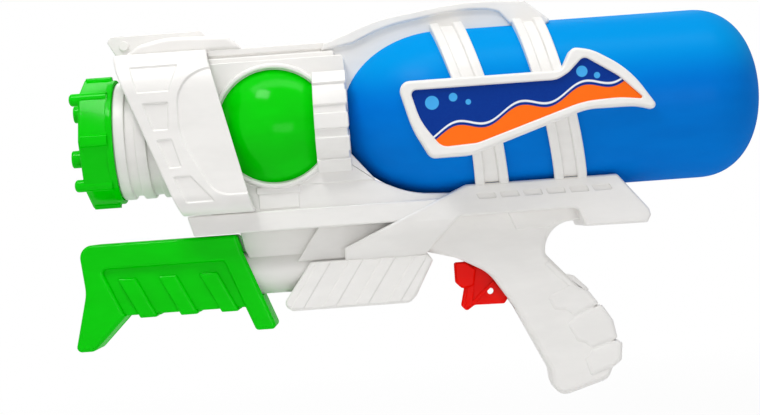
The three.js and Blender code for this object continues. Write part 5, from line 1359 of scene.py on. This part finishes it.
sky = Sky("studio")
sky.set(Color=(1.0, 1.0, 1.0, 1.0), Strength=seen_directly(sky) * (1.0 - WORLD_LIGHT) + WORLD_LIGHT)
print("nodes of the backdrop:", len(sky.tree.nodes))

# %% [markdown]
# ## Lamps
# The broad highlights come from a light tent. Spot lamps would give hard ones, so there are four large
# soft lamps: a long strip overhead, a key lamp in front, a fill lamp from the left and one behind.

# %% Lamps
def soft_lamp(name, place, target, width, height, power):
    """A rectangular area lamp at place that faces target."""
    data = bpy.data.lights.new(name, "AREA")
    data.shape, data.size, data.size_y, data.energy = "RECTANGLE", width, height, power
    lamp = bpy.data.objects.new(name, data)
    lamp.location = place
    lamp.rotation_euler = (Vector(target) - Vector(place)).to_track_quat("-Z", "Y").to_euler()
    bpy.context.scene.collection.objects.link(lamp)


MIDDLE = (-0.09, 0.0, 0.09)
lamps = {  # place, width, height and power
    "top_lamp": ((-0.05, -0.3, 1.2), 1.5, 0.3, 5.6),
    "key_lamp": ((-0.46, -0.66, 1.1), 0.4, 0.28, 5.4),
    "fill_lamp": ((0.2, -1.5, -0.2), 0.9, 0.9, 7.4),
    "back_lamp": ((-0.1, 1.1, 0.8), 1.0, 0.6, 4.0)}
for name, (place, width, height, power) in lamps.items():
    soft_lamp(name, place, MIDDLE, width, height, power)
print("lamps:", len(lamps))

# %% [markdown]
# ## Camera
# The camera stands on the drawing's datum, square to the left side. It could track the toy, but three
# fixed axes, two of them rolled, keep the sides parallel to the picture.

# %% Camera
SENSOR, LENS, CAMERA_AWAY = 36.0, 81.4, 1100.0  # the last as drawing millimetres from the parting plane
camera_roll = math.radians(4.15)
camera_data = bpy.data.cameras.new("camera")
camera_data.sensor_width, camera_data.lens, camera_data.sensor_fit = SENSOR, LENS, "HORIZONTAL"
camera = bpy.data.objects.new("camera", camera_data)
cosine, sine = math.cos(camera_roll), math.sin(camera_roll)
camera_axes = Matrix(((cosine, 0, -sine), (sine, 0, cosine), (0, -1, 0)))  # right, up and back
camera_turn = camera_axes.transposed().to_4x4()
camera.matrix_world = Matrix.Translation(to_frame((0.0, -CAMERA_AWAY, 0.0)).tolist()) @ camera_turn
bpy.context.scene.collection.objects.link(camera)
bpy.context.scene.camera = camera
bpy.context.scene.view_settings.view_transform = "Standard"
print("lens:", LENS)

# %% [markdown]
# ## Finish
# The box of the solids, measured when they came in, is written down.

# %% Finish
print("box of the solids:", CAD_BOX)
